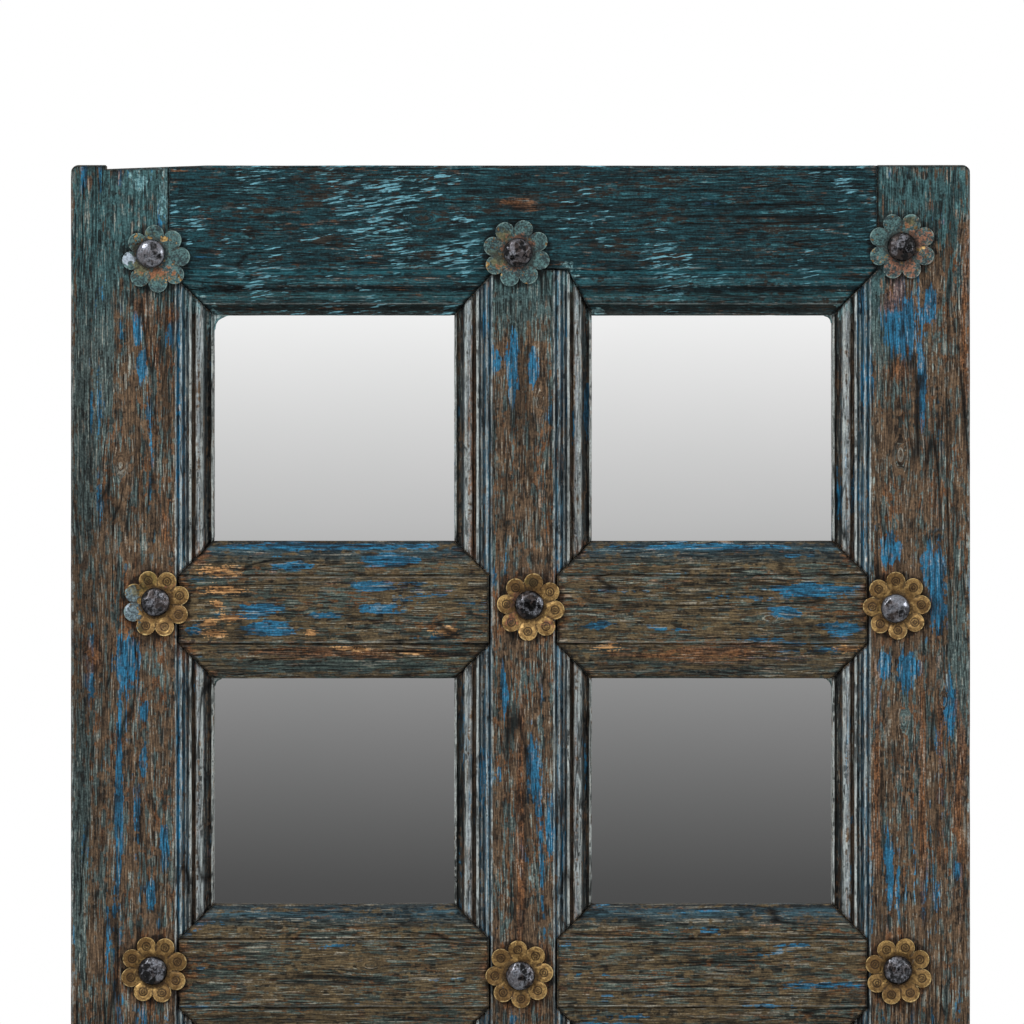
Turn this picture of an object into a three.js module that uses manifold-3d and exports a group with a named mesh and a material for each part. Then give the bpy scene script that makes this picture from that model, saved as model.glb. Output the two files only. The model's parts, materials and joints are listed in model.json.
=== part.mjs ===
// A wall mirror made from an old painted window-shutter leaf: two columns of three openings, each with
// a silvered pane where the shutter's panel was. Millimetres, +Z up, front towards -Y. The origin is
// midway between the pivots of the two hanging rings, in the plane of the back board's outer face.

import * as THREE from 'three';
import { mergeVertices } from 'three/addons/utils/BufferGeometryUtils.js';
import Module from 'manifold-3d';

const wasm = await Module();
wasm.setup();

// ---- driving dimensions ----

const LEAF_WIDTH = 540;
const LEAF_HEIGHT = 754;
const LEAF_THICKNESS = 34;
const LEFT_STILE_WIDTH = 86;
const RIGHT_STILE_WIDTH = 83;
const MULLION_WIDTH = 83;
const TOP_RAIL_HEIGHT = 90;
const BOTTOM_RAIL_HEIGHT = 92;
const MID_RAIL_HEIGHT = 83;
const ROWS = 3;
const HANG_DROP = 150; // from the leaf's top edge down to the rings' pivots

const GAP = 0.3; // between pieces that touch
const JOINT_DEPTH = 14; // how far behind the face a mitred moulding goes before the square shoulder
const MID_MITRE = 21; // how far a middle rail's face reaches over the upright's moulding
const END_MITRE = 27; // the same for the top and bottom rails
const MULLION_MITRE_LEFT = 25; // the mullion's own mitres under the top rail are cut unequal
const MULLION_MITRE_RIGHT = 15;
const TENON_THICKNESS = 11;
const STILE_TENON_LENGTH = 60;
const MULLION_TENON_LENGTH = 52; // upwards and downwards, into the end rails
const CROSS_TENON_LENGTH = 30; // sideways, into the mullion
const TENON_CHEEK = 16; // from a member's edge to its tenon's edge
const CORNER_RADIUS = 5;
const ARRIS_RADIUS = 2.5;
const HOLLOW_DEPTH = 2.4; // the top edge is worn hollow beside the sawn-off pivot stub
const HOLLOW_LENGTH = 65;
const STUB_WIDTH = 21;

const REBATE_WIDTH = 8;
const PANE_THICKNESS = 4;
const PANE_CLEARANCE = 0.6;
const PACKING_THICKNESS = 5;
const PACKING_INSET = 1.5;
const BOARD_THICKNESS = 4;
const BOARD_INSET = 14;
const BOARD_CORNER = 4;

const FLOWER_RADIUS = 20.4;
const FLOWER_THICKNESS = 1;
const FLOWER_DISH = 1.8; // how far the petal tips stand off the wood
const FLOWER_HOLE = 3.9;
const FLOWER_SIDES = 16;
const PETALS = 8;
const PETAL_RADIUS = 5.7;
const PETAL_ARC_POINTS = 6;
const PETAL_NOTCH = 5; // degrees of each petal's round left off beside its neighbour
const NAIL_HEAD_RADIUS = 8.8;
const NAIL_HEAD_HEIGHT = 5.6;
const NAIL_HEAD_SIDES = 14;
const NAIL_SHANK = 4.4; // across the flats
const NAIL_TIP = 2.4;
const NAIL_LENGTH = 27;

const STRAP_WIDTH = 12;
const STRAP_THICKNESS = 1.5;
const STRAP_LENGTH = 46; // from the rings' pivot down to the strap's end
const STRAP_CURL = 250; // degrees that the strap's end wraps round the ring
const RING_WIRE = 3;
const RING_WIDTH = 22; // between the centres of the ring's legs
const RING_LEG = 6;
const HANGER_INSET = 44; // from the leaf's side edge to the hanger's middle
const EYE_CLEARANCE = 0.3;
const STRAP_SCREW_DROPS = [26, 38];
const SCREW_HEAD_RADIUS = 3.8;
const SCREW_HEAD_HEIGHT = 2.2;
const SCREW_RADIUS = 1.8;
const SCREW_LENGTH = 20;
const SCREW_TIP = 4;
const SCREW_SIDES = 10;
const BOARD_SCREW_INSET = 24; // from the board's edges
const PILOT_CLEARANCE = 0.3;

// Moulding sections, from the opening's edge outwards: [distance from the edge, depth below the face].
const UPRIGHT_MOULDING = [
  [0, 11.2], [0.5, 10.5], [1.6, 10.5], [2.0, 12.3], [3.6, 12.3], [5.2, 10.6], [6.2, 7.4],
  [6.9, 4.6], [8.1, 3.2], [9.6, 3.0], [10.9, 4.0], [11.6, 5.6], [13.2, 5.2], [13.6, 2.2],
  [14.8, 2.0], [15.2, 3.6], [16.4, 3.4], [16.8, 2.4], [17.5, 3.4], [18.6, 3.1], [19.4, 1.3],
  [21.0, 1.1], [21.3, 1.9], [21.9, 1.8], [22.3, 0.5], [23.0, 0],
];
const MID_RAIL_MOULDING = [
  [0, 11.4], [0.8, 10.4], [3.2, 8.2], [7.8, 5.2], [8.4, 4.2], [14, 2.4], [20.2, 1.1],
  [20.6, 1.9], [21.3, 1.9], [21.8, 0],
];
const END_RAIL_MOULDING = [
  [0, 12], [0.8, 11.2], [3.4, 10.9], [5.6, 8.6], [6.8, 5.6], [8.6, 4.2], [11, 4.1], [12.6, 5.6],
  [15.6, 5.4], [17.6, 2.9], [19.6, 2.1], [22, 2.2], [24, 3.5], [26.8, 3.2], [28.2, 1.2],
  [30.6, 0.6], [32.4, 0],
];

// ---- places worked out from them ----

const BOARD_BACK = 0;
const BOARD_FRONT = BOARD_BACK - BOARD_THICKNESS;
const LEAF_BACK = BOARD_FRONT - GAP;
const LEAF_FACE = LEAF_BACK - LEAF_THICKNESS;
const LEAF_TOP = HANG_DROP;
const LEAF_BOTTOM = LEAF_TOP - LEAF_HEIGHT;
const LEAF_LEFT = -LEAF_WIDTH / 2;
const LEAF_RIGHT = LEAF_WIDTH / 2;
const OPENING_WIDTH = (LEAF_WIDTH - LEFT_STILE_WIDTH - MULLION_WIDTH - RIGHT_STILE_WIDTH) / 2;
const OPENING_HEIGHT =
  (LEAF_HEIGHT - TOP_RAIL_HEIGHT - BOTTOM_RAIL_HEIGHT - MID_RAIL_HEIGHT * (ROWS - 1)) / ROWS;
const POCKET_DEPTH = PANE_THICKNESS + PACKING_THICKNESS + 3 * GAP;
const POCKET_FLOOR = LEAF_BACK - POCKET_DEPTH;
const TENON_FRONT = LEAF_FACE + JOINT_DEPTH;
const TENON_BACK = TENON_FRONT + TENON_THICKNESS;
const THROUGH = 60; // how far a cutter runs past what it cuts

const LEFT_STILE_EDGE = LEAF_LEFT + LEFT_STILE_WIDTH;
const MULLION_LEFT = LEFT_STILE_EDGE + OPENING_WIDTH;
const MULLION_RIGHT = MULLION_LEFT + MULLION_WIDTH;
const RIGHT_STILE_EDGE = LEAF_RIGHT - RIGHT_STILE_WIDTH;
const TOP_RAIL_EDGE = LEAF_TOP - TOP_RAIL_HEIGHT;
const BOTTOM_RAIL_EDGE = LEAF_BOTTOM + BOTTOM_RAIL_HEIGHT;

const COLUMNS = [
  { name: 'left', low: LEFT_STILE_EDGE, high: MULLION_LEFT },
  { name: 'right', low: MULLION_RIGHT, high: RIGHT_STILE_EDGE },
];
const ROW_NAMES = ['top', 'middle', 'bottom'];
const ROW_PITCH = OPENING_HEIGHT + MID_RAIL_HEIGHT;
const OPENINGS = ROW_NAMES.flatMap((row, index) => COLUMNS.map((column) => ({
  name: `${row}_${column.name}`,
  x0: column.low,
  x1: column.high,
  z1: TOP_RAIL_EDGE - index * ROW_PITCH,
  z0: TOP_RAIL_EDGE - index * ROW_PITCH - OPENING_HEIGHT,
})));
const MID_RAILS = ['upper', 'lower'].flatMap((row, index) => COLUMNS.map((column) => ({
  name: `${row}_rail_${column.name}`,
  x0: column.low,
  x1: column.high,
  z1: TOP_RAIL_EDGE - index * ROW_PITCH - OPENING_HEIGHT,
  z0: TOP_RAIL_EDGE - (index + 1) * ROW_PITCH,
  leftTenon: column.name === 'left' ? STILE_TENON_LENGTH : CROSS_TENON_LENGTH,
  rightTenon: column.name === 'left' ? CROSS_TENON_LENGTH : STILE_TENON_LENGTH,
})));

// Each joint has a flower washer under a domed nail, set by eye: nail from the joint's middle, flower
// from its nail, and the flower's turn in degrees.
const JOINT_COLUMNS = {
  left: LEFT_STILE_EDGE - LEFT_STILE_WIDTH / 2,
  centre: (MULLION_LEFT + MULLION_RIGHT) / 2,
  right: RIGHT_STILE_EDGE + RIGHT_STILE_WIDTH / 2,
};
const JOINT_ROWS = {
  top: (LEAF_TOP + TOP_RAIL_EDGE) / 2,
  upper: MID_RAILS[0].z1 - MID_RAIL_HEIGHT / 2,
  lower: MID_RAILS[2].z1 - MID_RAIL_HEIGHT / 2,
  bottom: (LEAF_BOTTOM + BOTTOM_RAIL_EDGE) / 2,
};
const ROSETTES = [
  { row: 'top', column: 'left', nail: [5.2, -8.3], flower: [3.2, -2.9], turn: 4 },
  { row: 'top', column: 'centre', nail: [-3.0, -7.6], flower: [-0.8, -0.4], turn: 30 },
  { row: 'top', column: 'right', nail: [0.2, -4.2], flower: [0.2, 0.4], turn: 23 },
  { row: 'upper', column: 'left', nail: [8.0, 4.6], flower: [0.6, -1.0], turn: 18 },
  { row: 'upper', column: 'centre', nail: [3.8, 2.8], flower: [0.8, -1.2], turn: 37 },
  { row: 'upper', column: 'right', nail: [-3.6, 0.8], flower: [0.8, 1.6], turn: 3 },
  { row: 'lower', column: 'left', nail: [6.4, 1.8], flower: [0.8, 0.6], turn: 17 },
  { row: 'lower', column: 'centre', nail: [-1.6, -1.2], flower: [-0.6, 0.8], turn: 5 },
  { row: 'lower', column: 'right', nail: [-2.2, 2.2], flower: [0.4, -0.8], turn: 30 },
  { row: 'bottom', column: 'left', nail: [4.6, 6.0], flower: [-0.6, 0.6], turn: 12 },
  { row: 'bottom', column: 'centre', nail: [1.2, 4.8], flower: [0.6, 0.2], turn: 27 },
  { row: 'bottom', column: 'right', nail: [-1.4, 5.4], flower: [0.2, -0.6], turn: 20 },
].map((rosette) => ({
  ...rosette,
  name: `${rosette.row}_${rosette.column}`,
  x: JOINT_COLUMNS[rosette.column] + rosette.nail[0],
  z: JOINT_ROWS[rosette.row] + rosette.nail[1],
}));

const FLOWER_BOSS = NAIL_HEAD_RADIUS + 2 * GAP;
const NAIL_SEAT = LEAF_FACE - GAP - FLOWER_THICKNESS - GAP;

const EYE_RADIUS = RING_WIRE / 2 + EYE_CLEARANCE;
const PIVOT_Y = BOARD_BACK + GAP + STRAP_THICKNESS + EYE_RADIUS;
const HANGERS = [
  { name: 'left', x: LEAF_LEFT + HANGER_INSET },
  { name: 'right', x: LEAF_RIGHT - HANGER_INSET },
];
const BOARD_BOX = {
  x0: LEAF_LEFT + BOARD_INSET,
  x1: LEAF_RIGHT - BOARD_INSET,
  z0: LEAF_BOTTOM + BOARD_INSET,
  z1: LEAF_TOP - BOARD_INSET,
};
const BOARD_SCREWS = [BOARD_BOX.x0 + BOARD_SCREW_INSET, BOARD_BOX.x1 - BOARD_SCREW_INSET].flatMap(
  (x, side) => [BOARD_BOX.z1 - BOARD_SCREW_INSET, (BOARD_BOX.z0 + BOARD_BOX.z1) / 2,
    BOARD_BOX.z0 + BOARD_SCREW_INSET].map((z, level) => ({
    name: `board_screw_${['left', 'right'][side]}_${ROW_NAMES[level]}`, x, z, seat: BOARD_BACK + GAP,
  })));
const STRAP_SCREWS = HANGERS.flatMap((hanger) => STRAP_SCREW_DROPS.map((drop, index) => ({
  name: `strap_screw_${hanger.name}_${['upper', 'lower'][index]}`,
  x: hanger.x,
  z: -drop,
  seat: BOARD_BACK + GAP + STRAP_THICKNESS + GAP,
})));
const SCREWS = [...BOARD_SCREWS, ...STRAP_SCREWS];

// ---- finishes ----

const finish = (color, roughness, metalness = 0) =>
  new THREE.MeshStandardMaterial({ color, roughness, metalness });
const FINISHES = {
  tealPaint: finish(0x2b4a4f, 0.75),
  bluePaint: finish(0x4b5a60, 0.75),
  wornPaint: finish(0x5a5045, 0.8),
  mirror: finish(0xd8d8d8, 0.03, 1),
  packing: finish(0x9a7f5c, 0.9),
  board: finish(0xa98a62, 0.8),
  brass: finish(0xa98643, 0.45, 0.9),
  paintedBrass: finish(0x5c6b56, 0.6, 0.5),
  iron: finish(0x3a3735, 0.4, 0.9),
  zinc: finish(0xb9bab8, 0.35, 0.9),
};

// ---- solids ----

// A closed geometry as a solid for cutting and joining.
function toSolid(geometry) {
  const bare = geometry.clone();
  bare.deleteAttribute('normal');
  bare.deleteAttribute('uv');
  const merged = mergeVertices(bare, 1e-4);
  return new wasm.Manifold(new wasm.Mesh({
    numProp: 3,
    vertProperties: new Float32Array(merged.attributes.position.array),
    triVerts: new Uint32Array(merged.index.array),
  }));
}

function toGeometry(solid) {
  const mesh = solid.getMesh();
  const geometry = new THREE.BufferGeometry();
  geometry.setAttribute('position', new THREE.BufferAttribute(mesh.vertProperties, 3));
  geometry.setIndex(new THREE.BufferAttribute(mesh.triVerts, 1));
  geometry.computeVertexNormals();
  return geometry;
}

const subtractAll = (solid, cutters) => cutters.reduce((rest, cutter) => rest.subtract(cutter), solid);
const addAll = (solid, pieces) => pieces.reduce((whole, piece) => whole.add(piece), solid);

const outline = (points) => new THREE.Shape(points.map(([a, b]) => new THREE.Vector2(a, b)));
const extrude = (shape, depth) =>
  new THREE.ExtrudeGeometry(shape, { depth, bevelEnabled: false, curveSegments: 6 });

// The three ways to extrude a flat outline: (x, y) up along z, (y, z) across along x, and (x, z)
// from the front towards the back along y.
const upwards = (shape, z0, z1) => toSolid(extrude(shape, z1 - z0).translate(0, 0, z0));
const ACROSS = new THREE.Matrix4().set(0, 0, 1, 0, 1, 0, 0, 0, 0, 1, 0, 0, 0, 0, 0, 1);
const across = (shape, x0, x1) =>
  toSolid(extrude(shape, x1 - x0).applyMatrix4(ACROSS).translate(x0, 0, 0));
const INWARDS = new THREE.Matrix4().set(1, 0, 0, 0, 0, 0, -1, 0, 0, 1, 0, 0, 0, 0, 0, 1);
const inwards = (shape, y0, y1) =>
  toSolid(extrude(shape, y1 - y0).applyMatrix4(INWARDS).translate(0, y1, 0));

function box(x0, x1, y0, y1, z0, z1) {
  const geometry = new THREE.BoxGeometry(x1 - x0, y1 - y0, z1 - z0);
  return toSolid(geometry.translate((x0 + x1) / 2, (y0 + y1) / 2, (z0 + z1) / 2));
}

function roundedRect(x0, x1, z0, z1, radius) {
  const shape = new THREE.Shape();
  shape.moveTo(x0 + radius, z0);
  shape.lineTo(x1 - radius, z0);
  shape.absarc(x1 - radius, z0 + radius, radius, -Math.PI / 2, 0);
  shape.lineTo(x1, z1 - radius);
  shape.absarc(x1 - radius, z1 - radius, radius, 0, Math.PI / 2);
  shape.lineTo(x0 + radius, z1);
  shape.absarc(x0 + radius, z1 - radius, radius, Math.PI / 2, Math.PI);
  shape.lineTo(x0, z0 + radius);
  shape.absarc(x0 + radius, z0 + radius, radius, Math.PI, 1.5 * Math.PI);
  return shape;
}

// ---- members ----

// One side of a member's section, from the back to the face: a moulding along an opening, or the
// leaf's plain outer edge with its arris rounded. direction is +1 where the member lies above edge.
function sectionSide(edge, direction, moulding) {
  const front = moulding
    ? moulding.map(([away, depth]) => [edge + direction * away, LEAF_FACE + depth])
    : [0, 30, 60, 90].map((degrees) => {
      const turn = THREE.MathUtils.degToRad(degrees);
      return [edge + direction * ARRIS_RADIUS * (1 - Math.sin(turn)),
        LEAF_FACE + ARRIS_RADIUS * (1 - Math.cos(turn))];
    }).reverse();
  return [[edge, LEAF_BACK], ...front];
}

// A member's whole section as [position across the member, y] points.
function memberSection(low, lowMoulding, high, highMoulding) {
  return [...sectionSide(low, 1, lowMoulding), ...sectionSide(high, -1, highMoulding).reverse()];
}

const uprightSection = (...sides) => outline(memberSection(...sides));
const railSection = (...sides) => outline(memberSection(...sides).map(([z, y]) => [y, z]));

// The face of a middle rail: eight-sided, because its ends run out over the uprights' mouldings in
// 45 degree mitres. grow widens it all round for the seat that it is let into.
function midRailFace({ x0, x1, z0, z1 }, grow = 0) {
  const cut = MID_MITRE - grow * Math.tan(Math.PI / 8);
  const reach = MID_MITRE + grow;
  return outline([
    [x0 - grow, z0 - grow], [x1 + grow, z0 - grow], [x1 + reach, z0 + cut],
    [x1 + reach, z1 - cut], [x1 + grow, z1 + grow], [x0 - grow, z1 + grow],
    [x0 - reach, z1 - cut], [x0 - reach, z0 + cut],
  ]);
}

// The face of an end rail: mitred over both stiles. up is +1 at the top of the leaf, -1 at the bottom.
function endRailFace(edge, up, grow = 0) {
  const far = edge + up * THROUGH * 2;
  const near = edge - up * grow;
  const shoulder = END_MITRE + grow;
  const points = [
    [LEFT_STILE_EDGE - grow, near], [RIGHT_STILE_EDGE + grow, near],
    [RIGHT_STILE_EDGE + shoulder, edge + up * END_MITRE], [RIGHT_STILE_EDGE + shoulder, far],
    [LEFT_STILE_EDGE - shoulder, far], [LEFT_STILE_EDGE - shoulder, edge + up * END_MITRE],
  ];
  return outline(up > 0 ? points : points.reverse());
}

// The mullion's mitred head where it meets an end rail, from a little inside the mullion.
function mullionHead(edge, up, grow = 0) {
  const inside = edge - up * MID_MITRE;
  const tip = edge + up * (END_MITRE + grow);
  const points = [
    [MULLION_LEFT - grow, inside], [MULLION_RIGHT + grow, inside], [MULLION_RIGHT + grow, edge],
    [MULLION_RIGHT - MULLION_MITRE_RIGHT + grow, tip],
    [MULLION_LEFT + MULLION_MITRE_LEFT - grow, tip], [MULLION_LEFT - grow, edge],
  ];
  return outline(up > 0 ? points : points.reverse());
}

const frontPart = (shape, grow = 0) => inwards(shape, LEAF_FACE - THROUGH, TENON_FRONT + grow);

function sideTenon(x0, x1, z0, z1, grow = 0) {
  return box(x0 - grow, x1 + grow, TENON_FRONT - grow, TENON_BACK + grow, z0 - grow, z1 + grow);
}

const midRailTenons = (rail, grow = 0) => [
  sideTenon(rail.x0 - rail.leftTenon, rail.x0 + MID_MITRE, rail.z0 + TENON_CHEEK,
    rail.z1 - TENON_CHEEK, grow),
  sideTenon(rail.x1 - MID_MITRE, rail.x1 + rail.rightTenon, rail.z0 + TENON_CHEEK,
    rail.z1 - TENON_CHEEK, grow),
];

const END_RAILS = [
  { name: 'top_rail', edge: TOP_RAIL_EDGE, far: LEAF_TOP, up: 1 },
  { name: 'bottom_rail', edge: BOTTOM_RAIL_EDGE, far: LEAF_BOTTOM, up: -1 },
];

function endRailTenons({ edge, far, up }, grow = 0) {
  const ends = [edge + up * TENON_CHEEK, far - up * TENON_CHEEK].sort((a, b) => a - b);
  return [
    sideTenon(LEFT_STILE_EDGE - STILE_TENON_LENGTH, LEFT_STILE_EDGE + MID_MITRE, ...ends, grow),
    sideTenon(RIGHT_STILE_EDGE - MID_MITRE, RIGHT_STILE_EDGE + STILE_TENON_LENGTH, ...ends, grow),
  ];
}

function mullionTenon({ edge, up }, grow = 0) {
  const ends = [edge - up * MID_MITRE, edge + up * MULLION_TENON_LENGTH].sort((a, b) => a - b);
  return sideTenon(MULLION_LEFT + TENON_CHEEK, MULLION_RIGHT - TENON_CHEEK, ...ends, grow);
}

// What is taken out of every member: the panes' pockets, the nails' and screws' holes, the worn
// hollow in the top edge and the leaf's rounded corners.
const POCKETS = OPENINGS.map(({ x0, x1, z0, z1 }) => box(x0 - REBATE_WIDTH, x1 + REBATE_WIDTH,
  POCKET_FLOOR, LEAF_BACK + THROUGH, z0 - REBATE_WIDTH, z1 + REBATE_WIDTH));
const NAIL_HOLES = ROSETTES.map((rosette) => nailShank(rosette, GAP));
const PILOT_HOLES = SCREWS.map((screw) => screwShank(screw, PILOT_CLEARANCE));
const WORN_HOLLOW = inwards(outline([
  [LEAF_LEFT + STUB_WIDTH, LEAF_TOP + 1], [LEAF_LEFT + STUB_WIDTH, LEAF_TOP - HOLLOW_DEPTH],
  [LEAF_LEFT + STUB_WIDTH + HOLLOW_LENGTH, LEAF_TOP], [LEAF_LEFT + STUB_WIDTH + HOLLOW_LENGTH, LEAF_TOP + 1],
]), LEAF_FACE - THROUGH, LEAF_BACK + THROUGH);
const LEAF_OUTLINE = inwards(
  roundedRect(LEAF_LEFT, LEAF_RIGHT, LEAF_BOTTOM, LEAF_TOP, CORNER_RADIUS), LEAF_FACE, LEAF_BACK);
const bored = (member) => subtractAll(member.intersect(LEAF_OUTLINE),
  [...POCKETS, ...NAIL_HOLES, ...PILOT_HOLES, WORN_HOLLOW]);

function stile(outer, inner) {
  const [low, high] = [Math.min(outer, inner), Math.max(outer, inner)];
  const mouldings = outer < inner ? [null, UPRIGHT_MOULDING] : [UPRIGHT_MOULDING, null];
  const body = upwards(uprightSection(low, mouldings[0], high, mouldings[1]), LEAF_BOTTOM, LEAF_TOP);
  return bored(subtractAll(body, [
    ...MID_RAILS.flatMap((rail) => [frontPart(midRailFace(rail, GAP), GAP), ...midRailTenons(rail, GAP)]),
    ...END_RAILS.flatMap((rail) =>
      [frontPart(endRailFace(rail.edge, rail.up, GAP), GAP), ...endRailTenons(rail, GAP)]),
  ]));
}

function mullion() {
  const section = uprightSection(MULLION_LEFT, UPRIGHT_MOULDING, MULLION_RIGHT, UPRIGHT_MOULDING);
  const long = upwards(section, BOTTOM_RAIL_EDGE - END_MITRE, TOP_RAIL_EDGE + END_MITRE);
  const straight = box(MULLION_LEFT, MULLION_RIGHT, LEAF_FACE - 1, LEAF_BACK + 1,
    BOTTOM_RAIL_EDGE + GAP, TOP_RAIL_EDGE - GAP);
  const heads = END_RAILS.map(({ edge, up }) => frontPart(mullionHead(edge, up)));
  const body = addAll(long.intersect(addAll(straight, heads)), END_RAILS.map((rail) => mullionTenon(rail)));
  return bored(subtractAll(body, MID_RAILS.flatMap((rail) =>
    [frontPart(midRailFace(rail, GAP), GAP), ...midRailTenons(rail, GAP)])));
}

function endRail(rail) {
  const { edge, far, up } = rail;
  const sides = up > 0 ? [edge, END_RAIL_MOULDING, far, null] : [far, null, edge, END_RAIL_MOULDING];
  const long = across(railSection(...sides), LEFT_STILE_EDGE - END_MITRE, RIGHT_STILE_EDGE + END_MITRE);
  const between = box(LEFT_STILE_EDGE + GAP, RIGHT_STILE_EDGE - GAP, LEAF_FACE - 1, LEAF_BACK + 1,
    Math.min(edge, far), Math.max(edge, far));
  const face = frontPart(endRailFace(edge, up));
  const body = addAll(long.intersect(between.add(face)), endRailTenons(rail));
  return bored(subtractAll(body, [frontPart(mullionHead(edge, up, GAP), GAP), mullionTenon(rail, GAP)]));
}

function midRail(rail) {
  const section = railSection(rail.z0, MID_RAIL_MOULDING, rail.z1, MID_RAIL_MOULDING);
  const long = across(section, rail.x0 - MID_MITRE, rail.x1 + MID_MITRE);
  const between = box(rail.x0 + GAP, rail.x1 - GAP, LEAF_FACE - 1, LEAF_BACK + 1, rail.z0, rail.z1);
  const face = frontPart(midRailFace(rail));
  return bored(addAll(long.intersect(between.add(face)), midRailTenons(rail)));
}

// ---- panes and back ----

function pane({ x0, x1, z0, z1 }) {
  const grow = REBATE_WIDTH - PANE_CLEARANCE;
  const front = POCKET_FLOOR + GAP;
  return box(x0 - grow, x1 + grow, front, front + PANE_THICKNESS, z0 - grow, z1 + grow);
}

function packing({ x0, x1, z0, z1 }) {
  const grow = REBATE_WIDTH - PACKING_INSET;
  const back = LEAF_BACK;
  return box(x0 - grow, x1 + grow, back - PACKING_THICKNESS, back, z0 - grow, z1 + grow);
}

function backBoard() {
  const { x0, x1, z0, z1 } = BOARD_BOX;
  const sheet = inwards(roundedRect(x0, x1, z0, z1, BOARD_CORNER), BOARD_FRONT, BOARD_BACK);
  return subtractAll(sheet, PILOT_HOLES);
}

// ---- flower washers and nails ----

// The outline of a flower's round petals about its own centre.
function petalOutline(turn) {
  const shape = new THREE.Shape();
  const reach = FLOWER_RADIUS - PETAL_RADIUS;
  const half = Math.PI / PETALS;
  const overlap = Math.acos(Math.min(1, (reach * Math.sin(half)) / PETAL_RADIUS));
  const spread = Math.PI / 2 + half - overlap - THREE.MathUtils.degToRad(PETAL_NOTCH);
  const points = [];
  for (let petal = 0; petal < PETALS; petal += 1) {
    const facing = THREE.MathUtils.degToRad(turn) + petal * 2 * half;
    for (let step = 0; step < PETAL_ARC_POINTS; step += 1) {
      const angle = facing - spread + (2 * spread * step) / (PETAL_ARC_POINTS - 1);
      points.push(new THREE.Vector2(reach, 0).rotateAround(new THREE.Vector2(), facing)
        .add(new THREE.Vector2(PETAL_RADIUS, 0).rotateAround(new THREE.Vector2(), angle)));
    }
  }
  return shape.setFromPoints(points);
}

// A flower washer stamped from thin brass: flat under the nail's head, then dished up to its petal
// tips, with a hole for the nail that is seldom quite in the flower's middle.
function flower({ x, z, flower: [dx, dz], turn }) {
  const rim = FLOWER_RADIUS + Math.hypot(dx, dz) + 1;
  const rise = FLOWER_DISH * (rim - FLOWER_BOSS) / (FLOWER_RADIUS - FLOWER_BOSS);
  const profile = [
    [0, 0], [FLOWER_BOSS, 0], [rim, rise], [rim, rise + FLOWER_THICKNESS],
    [FLOWER_BOSS, FLOWER_THICKNESS], [0, FLOWER_THICKNESS],
  ].map(([a, b]) => new THREE.Vector2(a, b));
  const dish = toSolid(new THREE.LatheGeometry(profile, FLOWER_SIDES).rotateZ(Math.PI)
    .translate(x, LEAF_FACE - GAP, z));
  const hole = new THREE.CylinderGeometry(FLOWER_HOLE, FLOWER_HOLE, THROUGH, 12);
  const petals = inwards(petalOutline(turn), LEAF_FACE - THROUGH, LEAF_FACE + THROUGH);
  return dish.intersect(petals.translate([x + dx, 0, z + dz]))
    .subtract(toSolid(hole.translate(x, LEAF_FACE, z)));
}

// The nail's square tapered shank, from under its head into the wood.
function nailShank({ x, z }, grow = 0) {
  const tip = (NAIL_TIP + 2 * grow) * Math.SQRT1_2;
  const neck = (NAIL_SHANK + 2 * grow) * Math.SQRT1_2;
  const length = NAIL_LENGTH + grow;
  const geometry = new THREE.CylinderGeometry(tip, neck, length, 4).rotateY(Math.PI / 4);
  return toSolid(geometry.translate(x, NAIL_SEAT + length / 2, z));
}

// A forged nail: low dome with a flattened crown and a rolled edge, over a square shank.
function nail(rosette) {
  const r = NAIL_HEAD_RADIUS;
  const h = NAIL_HEAD_HEIGHT;
  const profile = [
    [0, 0], [r * 0.86, 0], [r * 0.98, h * 0.1], [r, h * 0.25], [r * 0.93, h * 0.5],
    [r * 0.76, h * 0.76], [r * 0.48, h * 0.94], [0, h],
  ].map(([a, b]) => new THREE.Vector2(a, b));
  const head = new THREE.LatheGeometry(profile, NAIL_HEAD_SIDES).rotateZ(Math.PI);
  head.translate(rosette.x, NAIL_SEAT, rosette.z);
  return toSolid(head).add(nailShank(rosette));
}

// ---- hangers and screws ----

// A plain pan-head wood screw, driven from behind. seat is the surface under its head.
function screwShank({ x, z, seat }, grow = 0) {
  const r = SCREW_RADIUS + grow;
  const profile = [
    [0, 0], [r, 0], [r, -(SCREW_LENGTH - SCREW_TIP)], [0, -(SCREW_LENGTH + grow)],
  ].reverse().map(([a, b]) => new THREE.Vector2(a, b));
  return toSolid(new THREE.LatheGeometry(profile, SCREW_SIDES).translate(x, seat, z));
}

function screw(place) {
  const r = SCREW_HEAD_RADIUS;
  const h = SCREW_HEAD_HEIGHT;
  const profile = [[0, 0], [r, 0], [r, h * 0.35], [r * 0.8, h * 0.8], [r * 0.4, h], [0, h]]
    .map(([a, b]) => new THREE.Vector2(a, b));
  const head = new THREE.LatheGeometry(profile, SCREW_SIDES).translate(place.x, place.seat, place.z);
  return toSolid(head).add(screwShank(place));
}

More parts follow.
